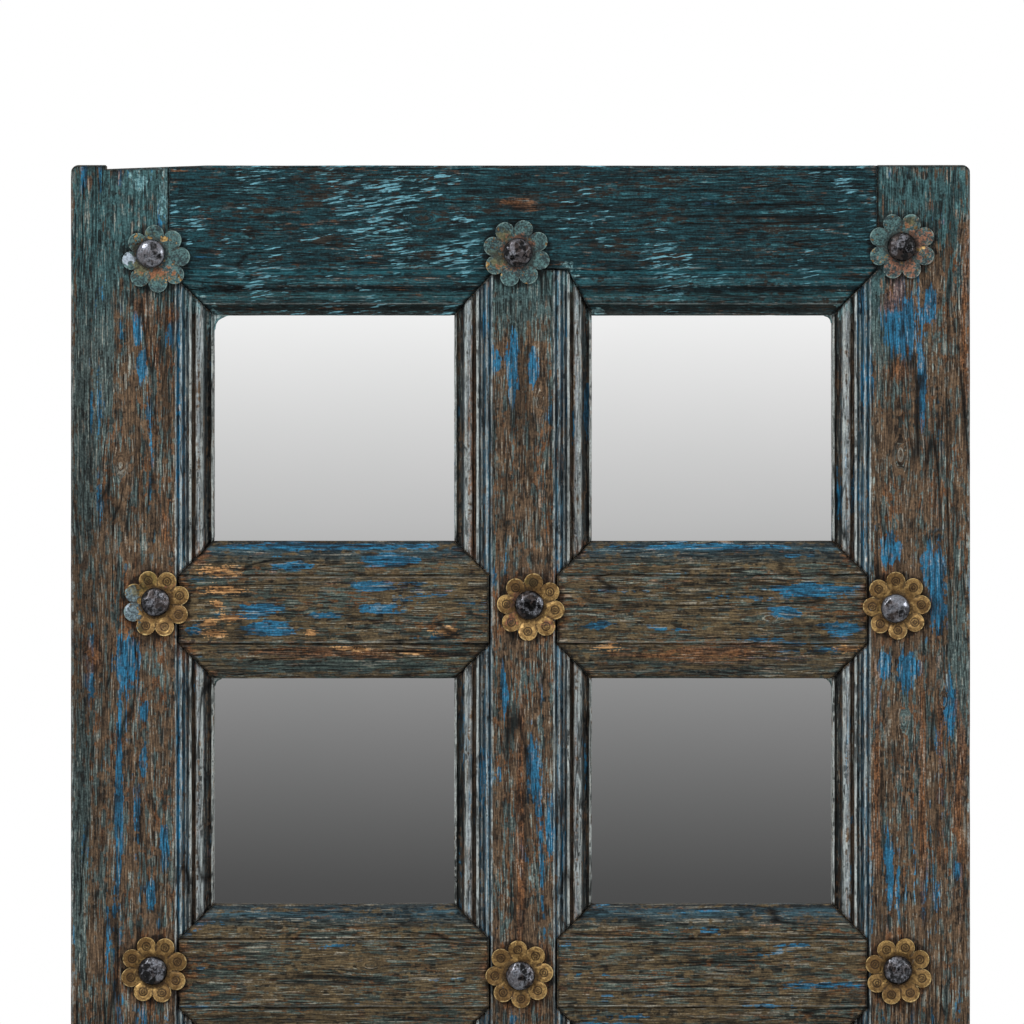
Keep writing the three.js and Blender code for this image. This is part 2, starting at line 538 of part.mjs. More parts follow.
// A steel strip whose upper end is curled round the ring's bar, with two screw holes below and a
// round lower end.
function strap({ x }) {
  const back = BOARD_BACK + GAP;
  const outer = EYE_RADIUS + STRAP_THICKNESS;
  const start = Math.PI;
  const end = start - THREE.MathUtils.degToRad(STRAP_CURL);
  const shape = new THREE.Shape();
  shape.moveTo(back, -STRAP_LENGTH);
  shape.lineTo(back, 0);
  shape.absarc(PIVOT_Y, 0, outer, start, end, true);
  shape.absarc(PIVOT_Y, 0, EYE_RADIUS, end, start, false);
  shape.lineTo(back + STRAP_THICKNESS, -STRAP_LENGTH);
  shape.closePath();
  const strip = across(shape, x - STRAP_WIDTH, x + STRAP_WIDTH);
  const blank = inwards(roundedRect(x - STRAP_WIDTH / 2, x + STRAP_WIDTH / 2, -STRAP_LENGTH, THROUGH,
    STRAP_WIDTH / 2), -THROUGH, THROUGH);
  const holes = STRAP_SCREWS.filter((place) => place.x === x)
    .map((place) => screwShank({ ...place, seat: place.seat + GAP }, PILOT_CLEARANCE));
  return subtractAll(strip.intersect(blank), holes);
}

// A wire D: a straight bar through the strap's eye, two legs and a half round, hanging straight down.
function ring({ x }) {
  const radius = RING_WIDTH / 2;
  const at = (px, pz) => new THREE.Vector3(x + px, PIVOT_Y, pz);
  const bow = new THREE.CatmullRomCurve3([
    at(-radius, 0), at(-radius, -RING_LEG / 2), at(-radius, -RING_LEG),
    ...[30, 60, 90, 120, 150].map((degrees) => {
      const turn = THREE.MathUtils.degToRad(degrees);
      return at(-radius * Math.cos(turn), -RING_LEG - radius * Math.sin(turn));
    }),
    at(radius, -RING_LEG), at(radius, -RING_LEG / 2), at(radius, 0),
  ]);
  const section = new THREE.Shape();
  section.absarc(0, 0, RING_WIRE / 2, 0, 2 * Math.PI);
  const wire = new THREE.ExtrudeGeometry(section, {
    steps: 22, curveSegments: 4, extrudePath: bow, bevelEnabled: false,
  });
  const bar = new THREE.CylinderGeometry(RING_WIRE / 2, RING_WIRE / 2, RING_WIDTH + RING_WIRE, 8);
  bar.rotateZ(Math.PI / 2).translate(x, PIVOT_Y, 0);
  return toSolid(wire).add(toSolid(bar));
}

// ---- the assembly ----

const leaf = new THREE.Group();
const place = (name, solid, material) => {
  const mesh = new THREE.Mesh(toGeometry(solid), material);
  mesh.name = name;
  leaf.add(mesh);
};

place('left_stile', stile(LEAF_LEFT, LEFT_STILE_EDGE), FINISHES.bluePaint);
place('right_stile', stile(LEAF_RIGHT, RIGHT_STILE_EDGE), FINISHES.bluePaint);
place('mullion', mullion(), FINISHES.bluePaint);
for (const rail of END_RAILS) place(rail.name, endRail(rail), FINISHES.tealPaint);
for (const rail of MID_RAILS) place(rail.name, midRail(rail), FINISHES.wornPaint);
for (const opening of OPENINGS) {
  place(`mirror_${opening.name}`, pane(opening), FINISHES.mirror);
  place(`packing_${opening.name}`, packing(opening), FINISHES.packing);
}
place('back_board', backBoard(), FINISHES.board);
for (const rosette of ROSETTES) {
  const brass = rosette.row === 'top' ? FINISHES.paintedBrass : FINISHES.brass;
  place(`flower_${rosette.name}`, flower(rosette), brass);
  place(`nail_${rosette.name}`, nail(rosette), FINISHES.iron);
}
for (const hanger of HANGERS) {
  place(`hanger_strap_${hanger.name}`, strap(hanger), FINISHES.zinc);
  place(`hanger_ring_${hanger.name}`, ring(hanger), FINISHES.zinc);
}
for (const fixing of SCREWS) place(fixing.name, screw(fixing), FINISHES.zinc);

export default leaf;
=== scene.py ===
"""The looks of a wall mirror made from an old painted shutter leaf. Metres, +Z up, front towards -Y."""

import json
import math

import bmesh
import bpy
import numpy as np
from mathutils import Matrix, Vector


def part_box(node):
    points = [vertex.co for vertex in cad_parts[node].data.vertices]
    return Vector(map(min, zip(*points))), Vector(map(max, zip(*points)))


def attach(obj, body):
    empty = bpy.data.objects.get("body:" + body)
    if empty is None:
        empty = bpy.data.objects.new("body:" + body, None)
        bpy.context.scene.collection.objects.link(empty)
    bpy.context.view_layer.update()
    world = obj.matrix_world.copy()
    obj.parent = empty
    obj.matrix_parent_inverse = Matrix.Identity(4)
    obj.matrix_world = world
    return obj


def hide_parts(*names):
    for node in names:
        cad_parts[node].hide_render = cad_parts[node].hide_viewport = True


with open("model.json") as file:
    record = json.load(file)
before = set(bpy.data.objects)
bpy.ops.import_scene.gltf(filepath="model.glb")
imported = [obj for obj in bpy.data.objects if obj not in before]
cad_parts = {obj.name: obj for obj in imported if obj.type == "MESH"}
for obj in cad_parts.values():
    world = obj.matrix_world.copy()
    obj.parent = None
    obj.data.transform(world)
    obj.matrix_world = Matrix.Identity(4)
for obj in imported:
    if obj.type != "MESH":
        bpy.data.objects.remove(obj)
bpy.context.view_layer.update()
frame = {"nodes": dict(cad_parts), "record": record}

# ---- Camera ----
# The leaf is seen square on from far away, so that nothing runs to a vanishing point. A pixel covers
# 0.6 mm of its face, and its left and top edges lie on the pixels of the picture that are named here.
MM = 0.001
PIXEL = 0.6 * MM
PICTURE_SIDE = 1024
LEAF_LEFT_PIXEL = 70.5
LEAF_TOP_PIXEL = 165
CAMERA_DISTANCE = 8.0
SENSOR = 36.0

leaf_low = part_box("left_stile")[0]
leaf_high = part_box("right_stile")[1]
camera_data = bpy.data.cameras.new("camera")
camera_data.sensor_width = SENSOR
camera_data.lens = SENSOR * CAMERA_DISTANCE / (PICTURE_SIDE * PIXEL)
camera = bpy.data.objects.new("camera", camera_data)
camera.location = (
    leaf_low.x + (PICTURE_SIDE / 2 - LEAF_LEFT_PIXEL) * PIXEL,
    leaf_low.y - CAMERA_DISTANCE,
    leaf_high.z - (PICTURE_SIDE / 2 - LEAF_TOP_PIXEL) * PIXEL,
)
camera.rotation_euler = (math.pi / 2, 0, 0)
scene = bpy.context.scene
scene.collection.objects.link(camera)
scene.camera = camera
scene.view_settings.view_transform = "Standard"


# ---- Studio ----
# A pale floor under the leaf, a white surround, soft lamps in front of it, and a graded screen that
# only shines on what is polished, so that the panes go from light above to dark below.
PICTURE_WHITE = 255
CURVE_LIFT = 0.055
CURVE_POWER = 2.4
DARK_ENDS = 0.04045
DARK_SLOPE = 12.92


def linear(tone):
    """A picture's tone, 0 to 1, as the light that it stands for. It is a number or a Shade."""
    return ((tone + CURVE_LIFT) / (1 + CURVE_LIFT)) ** CURVE_POWER


def srgb(red, green, blue):
    """A colour in a picture's 0 to 255 values, as the linear values that a shader takes."""
    tones = [value / PICTURE_WHITE for value in (red, green, blue)]
    return (*[tone / DARK_SLOPE if tone <= DARK_ENDS else linear(tone) for tone in tones], 1.0)


class Shade:
    """A socket of a material's nodes. Operators on it add Math nodes, and node adds any other kind."""

    def __init__(self, tree, socket=None):
        self.tree = tree
        self.socket = socket

    def node(self, kind, settings, inputs, output=0):
        made = self.tree.nodes.new("ShaderNode" + kind)
        for name, value in settings.items():
            if name == "stops":
                set_stops(made.color_ramp.elements, value)
            else:
                setattr(made, name, value)
        for name, value in inputs.items():
            if isinstance(value, Shade):
                self.tree.links.new(value.socket, made.inputs[name])
            else:
                made.inputs[name].default_value = value
        return Shade(self.tree, made.outputs[output] if made.outputs else None)

    def maths(self, operation, *values):
        return self.node("Math", {"operation": operation}, dict(enumerate(values)))

    def __add__(self, other):
        return self.maths("ADD", self, other)

    def __sub__(self, other):
        return self.maths("SUBTRACT", self, other)

    def __rsub__(self, other):
        return self.maths("SUBTRACT", other, self)

    def __mul__(self, other):
        return self.maths("MULTIPLY", self, other)

    def __truediv__(self, other):
        return self.maths("DIVIDE", self, other)

    def __pow__(self, other):
        return self.maths("POWER", self, other)

    __radd__ = __add__
    __rmul__ = __mul__

    def step(self, low, high):
        """0 where this is below low and 1 where it is above high, with a smooth way between."""
        return self.node("MapRange", {"interpolation_type": "SMOOTHSTEP"}, {0: self, 1: low, 2: high})

    def blend(self, first, second):
        """The first colour where this is 0 and the second where it is 1, by a Mix node's colour sockets."""
        return self.node("Mix", {"data_type": "RGBA"}, {0: self, 6: first, 7: second}, 2)

    def scaled(self, factor):
        """This colour or vector times a number."""
        return self.node("VectorMath", {"operation": "SCALE"}, {0: self, 3: factor})

    def stretched(self, *factors):
        """This vector times a factor along each of its axes."""
        return self.node("VectorMath", {"operation": "MULTIPLY"}, {0: self, 1: factors})

    def clouds(self, scale, detail=2.0, roughness=0.6):
        """Noise over this vector, spread over 0 to 1."""
        noise = self.node("TexNoise", {}, {
            "Vector": self, "Scale": scale, "Detail": detail, "Roughness": roughness})
        return noise.step(0.3, 0.7)

    def swing(self, amount):
        """This noise about 0 in place of 0.5, and so strong."""
        return (self - 0.5) * amount

    def size(self):
        return self.maths("ABSOLUTE", self)

    def sine(self):
        return self.maths("SINE", self)

    def larger(self, other):
        return self.maths("MAXIMUM", self, other)

    def part(self, axis):
        """One axis of this vector."""
        return self.node("SeparateXYZ", {}, {0: self}, axis)

    def length(self):
        return self.node("VectorMath", {"operation": "LENGTH"}, {0: self}, 1)

    def spot(self):
        """The place that is shaded, in metres."""
        return self.node("TexCoord", {}, {}, "Object")

    def mapped(self, attribute, output="Fac"):
        """What a mesh's attribute of this name says of the place."""
        return self.node("Attribute", {"attribute_name": attribute}, {}, output)


def set_stops(elements, stops):
    """Puts a ramp's stops, (place, colour) pairs, in the place of those that it starts with."""
    while len(elements) < len(stops):
        elements.new(1.0)
    for element, (place, colour) in zip(elements, stops):
        element.position = place
        element.color = colour


def open_tree(owner):
    """The emptied node tree of a material or world, to start its nodes from."""
    owner.use_nodes = True
    owner.node_tree.nodes.clear()
    return Shade(owner.node_tree)


def new_material(name):
    """A material without nodes, and what its nodes start from."""
    material = bpy.data.materials.new(name)
    return material, open_tree(material)


def stage_sheet(name, corners, material):
    mesh = bpy.data.meshes.new(name)
    mesh.from_pydata(corners, [], [range(len(corners))])
    mesh.materials.append(material)
    sheet = bpy.data.objects.new(name, mesh)
    scene.collection.objects.link(sheet)
    return sheet


FILL_STRENGTH = 0.5
WHITE_STRENGTH = 1.0
world = bpy.data.worlds.new("surround")
scene.world = world
start = open_tree(world)
direct, mirrored, passing = [
    start.node("LightPath", {}, {}, kind)
    for kind in ("Is Camera Ray", "Is Glossy Ray", "Is Transmission Ray")]
seen = direct.larger(mirrored).larger(passing)
sky = start.node("Background", {}, {
    "Color": (1.0, 1.0, 1.0, 1.0),
    "Strength": seen * (WHITE_STRENGTH - FILL_STRENGTH) + FILL_STRENGTH,
})
start.node("OutputWorld", {}, {"Surface": sky})

FLOOR_HALF = 3.0
FLOOR_GAP = 0.5 * MM
FLOOR_PAINT = srgb(238, 238, 236)
FLOOR_FADES = (0.9, 2.6)
floor_level = leaf_low.z - FLOOR_GAP
floor_material, start = new_material("floor_paint")
away = start.spot().length()
paint = start.node("BsdfDiffuse", {}, {"Color": FLOOR_PAINT})
clear = start.node("BsdfTransparent", {}, {})
start.node("OutputMaterial", {}, {
    "Surface": start.node("MixShader", {}, {0: away.step(*FLOOR_FADES), 1: paint, 2: clear})})
stage_sheet("floor", [(x, y, floor_level) for x, y in (
    (-FLOOR_HALF, -FLOOR_HALF), (FLOOR_HALF, -FLOOR_HALF), (FLOOR_HALF, FLOOR_HALF),
    (-FLOOR_HALF, FLOOR_HALF))], floor_material)

SCREEN_DISTANCE = 2.2
SCREEN_HALF = 3.0
SCREEN_TOP = 1.4
PANE_REFLECTS = 0.87
# What the panes show at these heights of the leaf in millimetres, as a picture's greys.
PANE_GREYS = [(-512, 22), (-400, 42), (-282, 77), (-156, 138), (-63, 184), (57, 232), (116, 255)]


def on_screen(height):
    """The height at which the camera's sight of a pane reaches the screen."""
    return camera.location.z + (height * MM - camera.location.z) * (1 + SCREEN_DISTANCE / CAMERA_DISTANCE)


screen_material, start = new_material("graded_screen")
lowest, highest = on_screen(PANE_GREYS[0][0]), on_screen(PANE_GREYS[-1][0])
level = (start.spot().part(2) - lowest) / (highest - lowest)
grey = level.node("ValToRGB", {"stops": [
    ((on_screen(height) - lowest) / (highest - lowest), (*[value / PICTURE_WHITE] * 3, 1.0))
    for height, value in PANE_GREYS
]}, {0: level})
light = linear(grey.part(0)) / PANE_REFLECTS
start.node("OutputMaterial", {}, {"Surface": start.node("Emission", {}, {"Color": light})})
screen_y = leaf_low.y - SCREEN_DISTANCE
screen = stage_sheet("graded_screen", [
    (-SCREEN_HALF, screen_y, floor_level), (SCREEN_HALF, screen_y, floor_level),
    (SCREEN_HALF, screen_y, SCREEN_TOP), (-SCREEN_HALF, screen_y, SCREEN_TOP)], screen_material)
screen.visible_camera = False
screen.visible_diffuse = False
screen.visible_shadow = False
screen.visible_transmission = False

LEAF_MIDDLE = Vector((0, 0, -0.1))
LAMPS = [
    ("key_lamp", (-1.3, -1.7, 1.5), 0.9, 26.0),
    ("side_lamp", (1.9, -1.5, 0.5), 0.9, 11.0),
    ("back_lamp", (1.2, 2.0, 1.4), 1.2, 22.0),
]
for name, place, side, power in LAMPS:
    lamp_data = bpy.data.lights.new(name, "AREA")
    lamp_data.size = side
    lamp_data.energy = power
    lamp = bpy.data.objects.new(name, lamp_data)
    lamp.location = place
    lamp.rotation_euler = (LEAF_MIDDLE - Vector(place)).to_track_quat("-Z", "Y").to_euler()
    scene.collection.objects.link(lamp)


# ---- Stiles, mullion and rails ----
# The nine members of the leaf are softwood, mortised and tenoned together, with moulded edges mitred
# over each other. Weather has raised their grain and worn coats of teal and blue paint off it.
# Their sizes here are in millimetres. Each member is a swept skin, cut by its own jointed solid.
WORD = 0xFFFFFFFF
PRIMES = (374761393, 668265263, 2147483629)
LAST_PRIME = 1274126177
LEAF_FACE = leaf_low.y / MM
LEAF_BACK = leaf_high.y / MM
DEEPEST_MOULDING = LEAF_FACE + 12.6
LONG_EDGE = 100.0
LEVEL = 0.01
WELD = 1e-6
SHARP = math.radians(20)
SMOOTHED_BELOW = math.radians(58)
FACES_FORWARD = -0.2
PAST_THE_END = 1.0
SIDE_STEP = 1.3
BACK_STEP = 4.5
CREST_SPAN = 2.6
WEAR_RADIUS = 1.8
MOULDED_DEPTH = 3.0
SIDES_WEATHERED = 0.6
BACK_WEATHERED = 0.25
CRISP_CREST = 0.15
CREST_WEATHERED = 0.7
DEEPEST_WEAR = 2.2
# How the patches of the finish fray at their edges, and what the grime round the studs does to them.
FILM_PATCH = 1.2
BLUE_FRAYS, RUST_FRAYS, RAW_FRAYS = 0.55, 0.7, 0.6
BLUE_REMNANTS = 0.95
BANDS_BELOW = 0.2
GRIME_FADES, GRIME_ON_FILM, GRIME_ON_BLUE, GRIME_RUSTS = 2.2, 0.4, 0.7, 0.5
RUST_HELD_BACK = 0.2
JOINT_DIRT = 2.4
JOINTS_RUST = 0.2
JOINT_RUST_FADES = (-7, -2)
UPPER_FADES = (30, 105)
DARKER_STRIP_FADES = 1.5
UPRIGHT, LEVEL_RAIL = 2, 0
FACE, HIGH_SIDE, BACK, LOW_SIDE = range(4)
BLENDED = 2
FAR = 1e6
TINY = 1e-9


def hashed(i, j, seed):
    """A number from 0 to 1 for each point of a square lattice, the same in every run."""
    mixed = sum(value * prime for value, prime in zip((i, j, seed), PRIMES)) & WORD
    mixed = ((mixed ^ (mixed >> 13)) * LAST_PRIME) & WORD
    return ((mixed ^ (mixed >> 16)) & WORD) / WORD


def eased(share):
    """A share from 0 to 1 that starts and ends slowly."""
    return share * share * (3 - 2 * share)


def noise(across, along, seed):
    """Smooth hills and dips between -1 and 1, about one to each unit both ways."""
    i, j = np.floor(across).astype(np.int64), np.floor(along).astype(np.int64)
    u, v = eased(across - i), eased(along - j)
    near = hashed(i, j, seed) * (1 - u) + hashed(i + 1, j, seed) * u
    far = hashed(i, j + 1, seed) * (1 - u) + hashed(i + 1, j + 1, seed) * u
    return 2 * (near * (1 - v) + far * v) - 1


def smooth(values, low, high):
    """0 where the values are below low and 1 where they are above high, with a smooth way between."""
    return eased(np.clip((values - low) / (high - low), 0, 1))


def quads_of(rows, columns, rows_meet=False):
    """The faces of a grid of points whose columns go right round, and whose rows may too."""
    index = np.arange(rows * columns).reshape(rows, columns)
    if rows_meet:
        index = np.vstack([index, index[:1]])
    after = np.roll(index, -1, axis=1)
    return np.stack([index[:-1], index[1:], after[1:], after[:-1]], axis=-1).reshape(-1, 4).tolist()


def tube_of(rows, columns):
    """The faces of a tube of rings of points, closed at both ends."""
    first = list(range(columns))
    return quads_of(rows, columns) + [first, [rows * columns - 1 - corner for corner in first]]


def closed_mesh(name, points, faces, fields):
    """A closed mesh with its faces turned out. points are in millimetres, and fields are its attributes."""
    mesh = bpy.data.meshes.new(name)
    mesh.from_pydata(points.reshape(-1, 3) * MM, [], faces)
    body = bmesh.new()
    body.from_mesh(mesh)
    if body.calc_volume(signed=True) < 0:
        mesh.flip_normals()
    body.free()
    for field, values in fields.items():
        attribute = mesh.attributes.new(field, "FLOAT", "POINT")
        attribute.data.foreach_set("value", np.ascontiguousarray(values, np.float32).ravel())
    return mesh


def read_member(node, grain):
    """A member's jointed solid, its face's section as across and y, and its joints' edges on the face."""
    across = 2 - grain
    solid = bmesh.new()
    solid.from_mesh(frame["nodes"][node].data)
    bmesh.ops.remove_doubles(solid, verts=solid.verts, dist=WELD)
    solid.verts.index_update()
    section, joints = {}, []
    for edge in solid.edges:
        a, b = (vertex.co / MM for vertex in edge.verts)
        if max(a.y, b.y) > DEEPEST_MOULDING:
            continue
        run = b - a
        lengthwise = abs(run[across]) < LEVEL and abs(run.y) < LEVEL
        if lengthwise and abs(run[grain]) > LONG_EDGE:
            section[round(a[across], 2)] = a.y
        elif edge.calc_face_angle(0) > SHARP and min(f.normal.y for f in edge.link_faces) < FACES_FORWARD:
            joints.append((a[across], a[grain], b[across], b[grain]))
    mesh = bpy.data.meshes.new(node + "_solid")
    mesh.from_pydata([v.co for v in solid.verts], [], [[v.index for v in f.verts] for f in solid.faces])
    solid.free()
    corners = np.array(sorted(section))
    return mesh, corners, np.array([section[corner] for corner in corners]), joints


def loop_round(corners, face, step):
    """The points round a member's section: across, y, the way inwards, the distance round, how far
    each stands out from the moulding beside it, and the side that it is on."""
    low, high = corners[0], corners[-1]
    evenly = np.arange(low, high, step)
    evenly = evenly[np.abs(evenly[:, None] - corners[None, :]).min(axis=1) > step / 3]
    front = np.sort(np.concatenate([corners, evenly]))
    front_y = np.interp(front, corners, face)
    rise = np.linspace(LEAF_BACK, front_y[0], int((LEAF_BACK - front_y[0]) / SIDE_STEP))[1:-1]
    fall = np.linspace(front_y[-1], LEAF_BACK, int((LEAF_BACK - front_y[-1]) / SIDE_STEP))[1:]
    back = np.linspace(high, low, int((high - low) / BACK_STEP))[1:]
    counts = [len(front), len(fall), len(back), len(rise)]
    across = np.concatenate([front, np.full(len(fall), high), back, np.full(len(rise), low)])
    y = np.concatenate([front_y, fall, np.full(len(back), LEAF_BACK), rise])
    inward = np.repeat([(0, 1), (-1, 0), (0, -1), (1, 0)], counts, axis=0).astype(float)
    inward = sum(np.roll(inward, shift, axis=0) for shift in range(-BLENDED, BLENDED + 1))
    inward /= np.linalg.norm(inward, axis=1, keepdims=True)
    unrolled = np.concatenate([
        front, high + fall - front_y[-1], high + LEAF_BACK - front_y[-1] + high - back,
        low - (rise - front_y[0])])
    fine = np.arange(low, high, step / 2)
    profile = np.interp(fine, corners, face)
    half = round(CREST_SPAN / step)
    window = np.ones(2 * half + 1) / (2 * half + 1)
    blurred = np.convolve(np.pad(profile, half, mode="edge"), window, "valid")
    crest = np.concatenate([np.interp(front, fine, blurred - profile), np.zeros(sum(counts[1:]))])
    kind = np.repeat([FACE, HIGH_SIDE, BACK, LOW_SIDE], counts)
    return across, y, inward, unrolled, crest, kind


def distance_to(segments, across, along):
    """How far each point lies from the nearest of some straight lines on the face."""
    least = np.full(across.shape, FAR)
    for a0, l0, a1, l1 in segments:
        run_a, run_l = a1 - a0, l1 - l0
        length = max(run_a * run_a + run_l * run_l, TINY)
        share = np.clip(((across - a0) * run_a + (along - l0) * run_l) / length, 0, 1)
        least = np.minimum(least, (across - a0 - share * run_a) ** 2 + (along - l0 - share * run_l) ** 2)
    return np.sqrt(least)


def distance_from_edge(across, corners, face):
    """How far each point of a section lies from the moulded edge nearest to it."""
    edges = [corners[end] for end in (0, -1) if face[end] - LEAF_FACE > MOULDED_DEPTH]
    return np.min([np.abs(across - edge) for edge in edges], axis=0)


def patches(places, x, z):
    """How far inside the nearest of some patches a point lies: 1 in its middle, 0 at its edge."""
    inside = np.full(x.shape, -1.0)
    for middle_x, middle_z, half_x, half_z in places:
        inside = np.maximum(inside, 1 - np.hypot((x - middle_x) / half_x, (z - middle_z) / half_z))
    return inside


KNOT_STRETCH = 2.4
KNOT_HEART = 1e-3
# The noises of the weathering: each one's size across and along the grain, strength and own seed.
LAYERS = {
    "bow": (34, 170, 2.2, 0), "waver": (11, 70, 0.7, 1), "ridges": (2.3, 60, 1, 2),
    "fibres": (0.95, 12, 1, 3), "swells": (15, 40, 1, 4), "bosses": (4.5, 10, 0.6, 5),
    "splits": (6.5, 110, 1, 6), "opened": (24, 55, 1, 7), "worn": (4, 5, 0.7, 8),
    "frayed": (1.5, 19, 0.5, 9), "torn": (4, 8, 0.3, 10), "broad": (6, 52, 0.6, 11),
    "narrow": (2.2, 24, 0.4, 12), "raised": (13, 45, 1, 13), "grains": (1.8, 4.2, 0.45, 14),
    "paint_line": (20, 20, 14, 15),
}


def layer(name, across, along, seed):
    """One noise of the weathering, over places on a member in millimetres."""
    size_across, size_along, strength, own_seed = LAYERS[name]
    return strength * noise(across / size_across, along / size_along, seed + own_seed)


# How deep each kind of wear cuts, and how much each adds to the height that the finish goes by.
SKIN_DEPTH, RIDGE_DEPTH, FIBRE_DEPTH, LUMP_DEPTH, CRACK_DEPTH = 0.1, 0.4, 0.1, 0.13, 0.8
HIGHEST_LUMP = 1.9
RIDGE_SHOWS, FIBRE_SHOWS, LUMP_SHOWS = 1.7, 0.35, 0.2
RIDGE_LEVEL = 0.72
LEAST_RAISED = 0.3
RAISED_FADES = (-0.5, 0.5)
SPLITS_FADE = (0.0, 0.35)
CRACK_HALF = 0.06
CRACK_FLAT = 1.2


def weather(across, along, seed, knots):
    """How deep weather has cut, in millimetres, with the grain's run, its ridges and its cracks."""
    grain = across + layer("bow", across, along, seed) + layer("waver", across, along, seed)
    for knot_across, knot_along, radius in knots:
        side = across - knot_across
        away = side ** 2 + ((along - knot_along) / KNOT_STRETCH) ** 2
        grain -= side * np.minimum(radius ** 2 / np.maximum(away, KNOT_HEART), 1)
        grain += np.sqrt(away) * (away < radius ** 2)
    ridge = 1 - np.abs(layer("ridges", grain, along, seed))
    raised = LEAST_RAISED + (1 - LEAST_RAISED) * smooth(layer("raised", across, along, seed), *RAISED_FADES)
    fibre = layer("fibres", grain, along, seed)
    lumps = sum(layer(name, across, along, seed) for name in ("swells", "bosses", "grains"))
    opened = smooth(layer("opened", across, along, seed), *SPLITS_FADE)
    crack = np.clip(CRACK_FLAT - np.abs(layer("splits", grain, along, seed)) / CRACK_HALF, 0, 1) * opened
    depth = SKIN_DEPTH + RIDGE_DEPTH * (1 - ridge) * raised + FIBRE_DEPTH * (1 - fibre)
    depth = depth + LUMP_DEPTH * (HIGHEST_LUMP + lumps) + CRACK_DEPTH * crack
    height = RIDGE_SHOWS * (ridge - RIDGE_LEVEL) * raised + FIBRE_SHOWS * fibre + LUMP_SHOWS * lumps
    return depth, grain, height, crack


# Patches of the finish: the middle's x and z on the leaf, and half the width and height.
BLUE_PLACES = [
    (-230, 51, 4, 12), (-227, 30, 3.5, 12), (-236.5, -148, 9, 20), (-226, -177, 3, 8), (-226, -207, 3, 12),
    (-214, -260, 3.5, 14), (-222, -288, 4, 10), (-241, -229, 2.6, 76), (-205, -230, 2.4, 80),
    (-205, 0, 2.4, 62), (-21, 54, 3, 9), (-15.3, 33, 4.5, 10), (-4.5, 30, 4.5, 24), (7.8, 28, 3.5, 15),
    (8, -212, 5, 26), (-10, -165, 3, 18), (18, -250, 4, 22), (-23, -220, 3, 24), (1, -120, 4, 14),
    (229.5, 55, 14, 26), (208, 20, 5, 22), (241, 17, 4, 24), (245.5, 67, 4, 13), (221.5, -82, 7, 13),
    (247, -106, 9, 34), (218.5, -150, 4.5, 9), (232.5, -153, 8, 15), (257.5, -175.5, 4.5, 24),
    (221, -273, 3.6, 26), (262.5, -273, 3, 9), (-90, -103, 14, 3.6), (-120, -120.5, 14, 3),
    (-84, -116, 17, 3.6), (-151, -128, 18, 5.5), (-155, -115.5, 18, 4), (-197, -128.6, 7, 4),
    (-134, -91, 16, 3.2), (-80, -87, 20, 4.5), (-112, -79, 72, 3), (178, -105, 32, 5.5),
    (158.7, -118.5, 12, 4.5), (191.7, -127.5, 14, 6), (46, -126, 10, 3.4), (115, -79, 60, 2),
]
RUST_PLACES = [
    (-217.8, 33, 2.2, 11), (-226, 66, 8, 10), (-210, 60, 12, 6), (-258.3, 140, 1.8, 6), (-258, -145, 8, 11),
    (-213.5, -66, 3.4, 17), (-29, -20, 3, 90), (0, -250, 3.6, 120), (266.7, 52, 4.5, 70), (227.7, 27, 11, 7),
    (223, 72, 9, 14), (213.5, -230, 3, 90), (241, -230, 3, 90), (252, -220, 2.4, 70), (263.5, -230, 4, 90),
    (-112, -143, 72, 5), (115, -143, 66, 7), (-192, -84, 7, 6), (-202, -141, 9, 8), (0, 126, 15, 7),
    (196, -84, 6, 6), (35, -80, 6, 6),
]
RAW_PLACES = [
    (-181.5, -93.5, 13, 4), (-177, -104.5, 14, 4.2), (-181.5, -114, 5, 4), (-187.5, -125, 7, 3.6),
    (-174, -122, 8, 3.4), (-183, -131, 9, 3.6), (-44.5, -129.5, 9, 3.6), (-126, -131, 4, 2.6),
    (52.2, -139.5, 10, 2.2), (196, -140, 9, 2.6), (-100, -140, 14, 1.8), (-60, -143, 12, 1.6),
]
FILM_PLACES = [
    (-232, 122, 52, 70), (-262, 20, 11, 130), (-252, 50, 12, 80), (-196, 70, 14, 70), (0, 82, 52, 46),
    (230, 140, 52, 50), (212, 70, 18, 60), (262, -150, 8, 60), (-264, -260, 7, 120), (-112, -70, 80, 6),
    (112, -72, 80, 7), (-100, -150, 90, 6),
]
TURQUOISE_PLACES = [
    (-213, 132, 4, 20), (-184, 57, 6, 11), (-197, 68, 8, 7), (45, 59.5, 5, 7), (29.7, 82.5, 5, 11),
    (194, 65, 6, 7), (-228, 140, 9, 8),
]
# A strip down the leaf's left edge, which the finish makes darker.
DARKER_STRIP_PLACES = [(-266, -90, 21, 270)]
MEMBERS = [
    # node, way of the grain, seed, steps across and along, knots as across, along and radius
    ("left_stile", UPRIGHT, 11, 0.55, 2.1, [(-240, -30, 3.0), (-250, -410, 3.5)]),
    ("right_stile", UPRIGHT, 29, 0.55, 2.1, [(228, -24, 3.4), (254, -171, 2.4), (230, -183, 2.6)]),
    ("mullion", UPRIGHT, 47, 0.55, 2.0, [(12, 8, 2.2), (-8, -440, 3.0)]),
    ("top_rail", LEVEL_RAIL, 61, 0.5, 1.5, [(118, -60, 3.4)]),
    ("bottom_rail", LEVEL_RAIL, 73, 0.5, 1.5, [(-560, 90, 3.6)]),
    ("upper_rail_left", LEVEL_RAIL, 89, 0.45, 1.2, []),
    ("upper_rail_right", LEVEL_RAIL, 101, 0.45, 1.2, [(-122, 150, 2.2)]),
    ("lower_rail_left", LEVEL_RAIL, 113, 0.45, 1.2, [(-330, -90, 2.4)]),
    ("lower_rail_right", LEVEL_RAIL, 127, 0.45, 1.2, []),
]
BODY_OF_LEAF = "frame"
FILM_LEFT = {"stile_paint": -0.1, "top_rail_paint": 0.3, "rail_paint": -0.06}
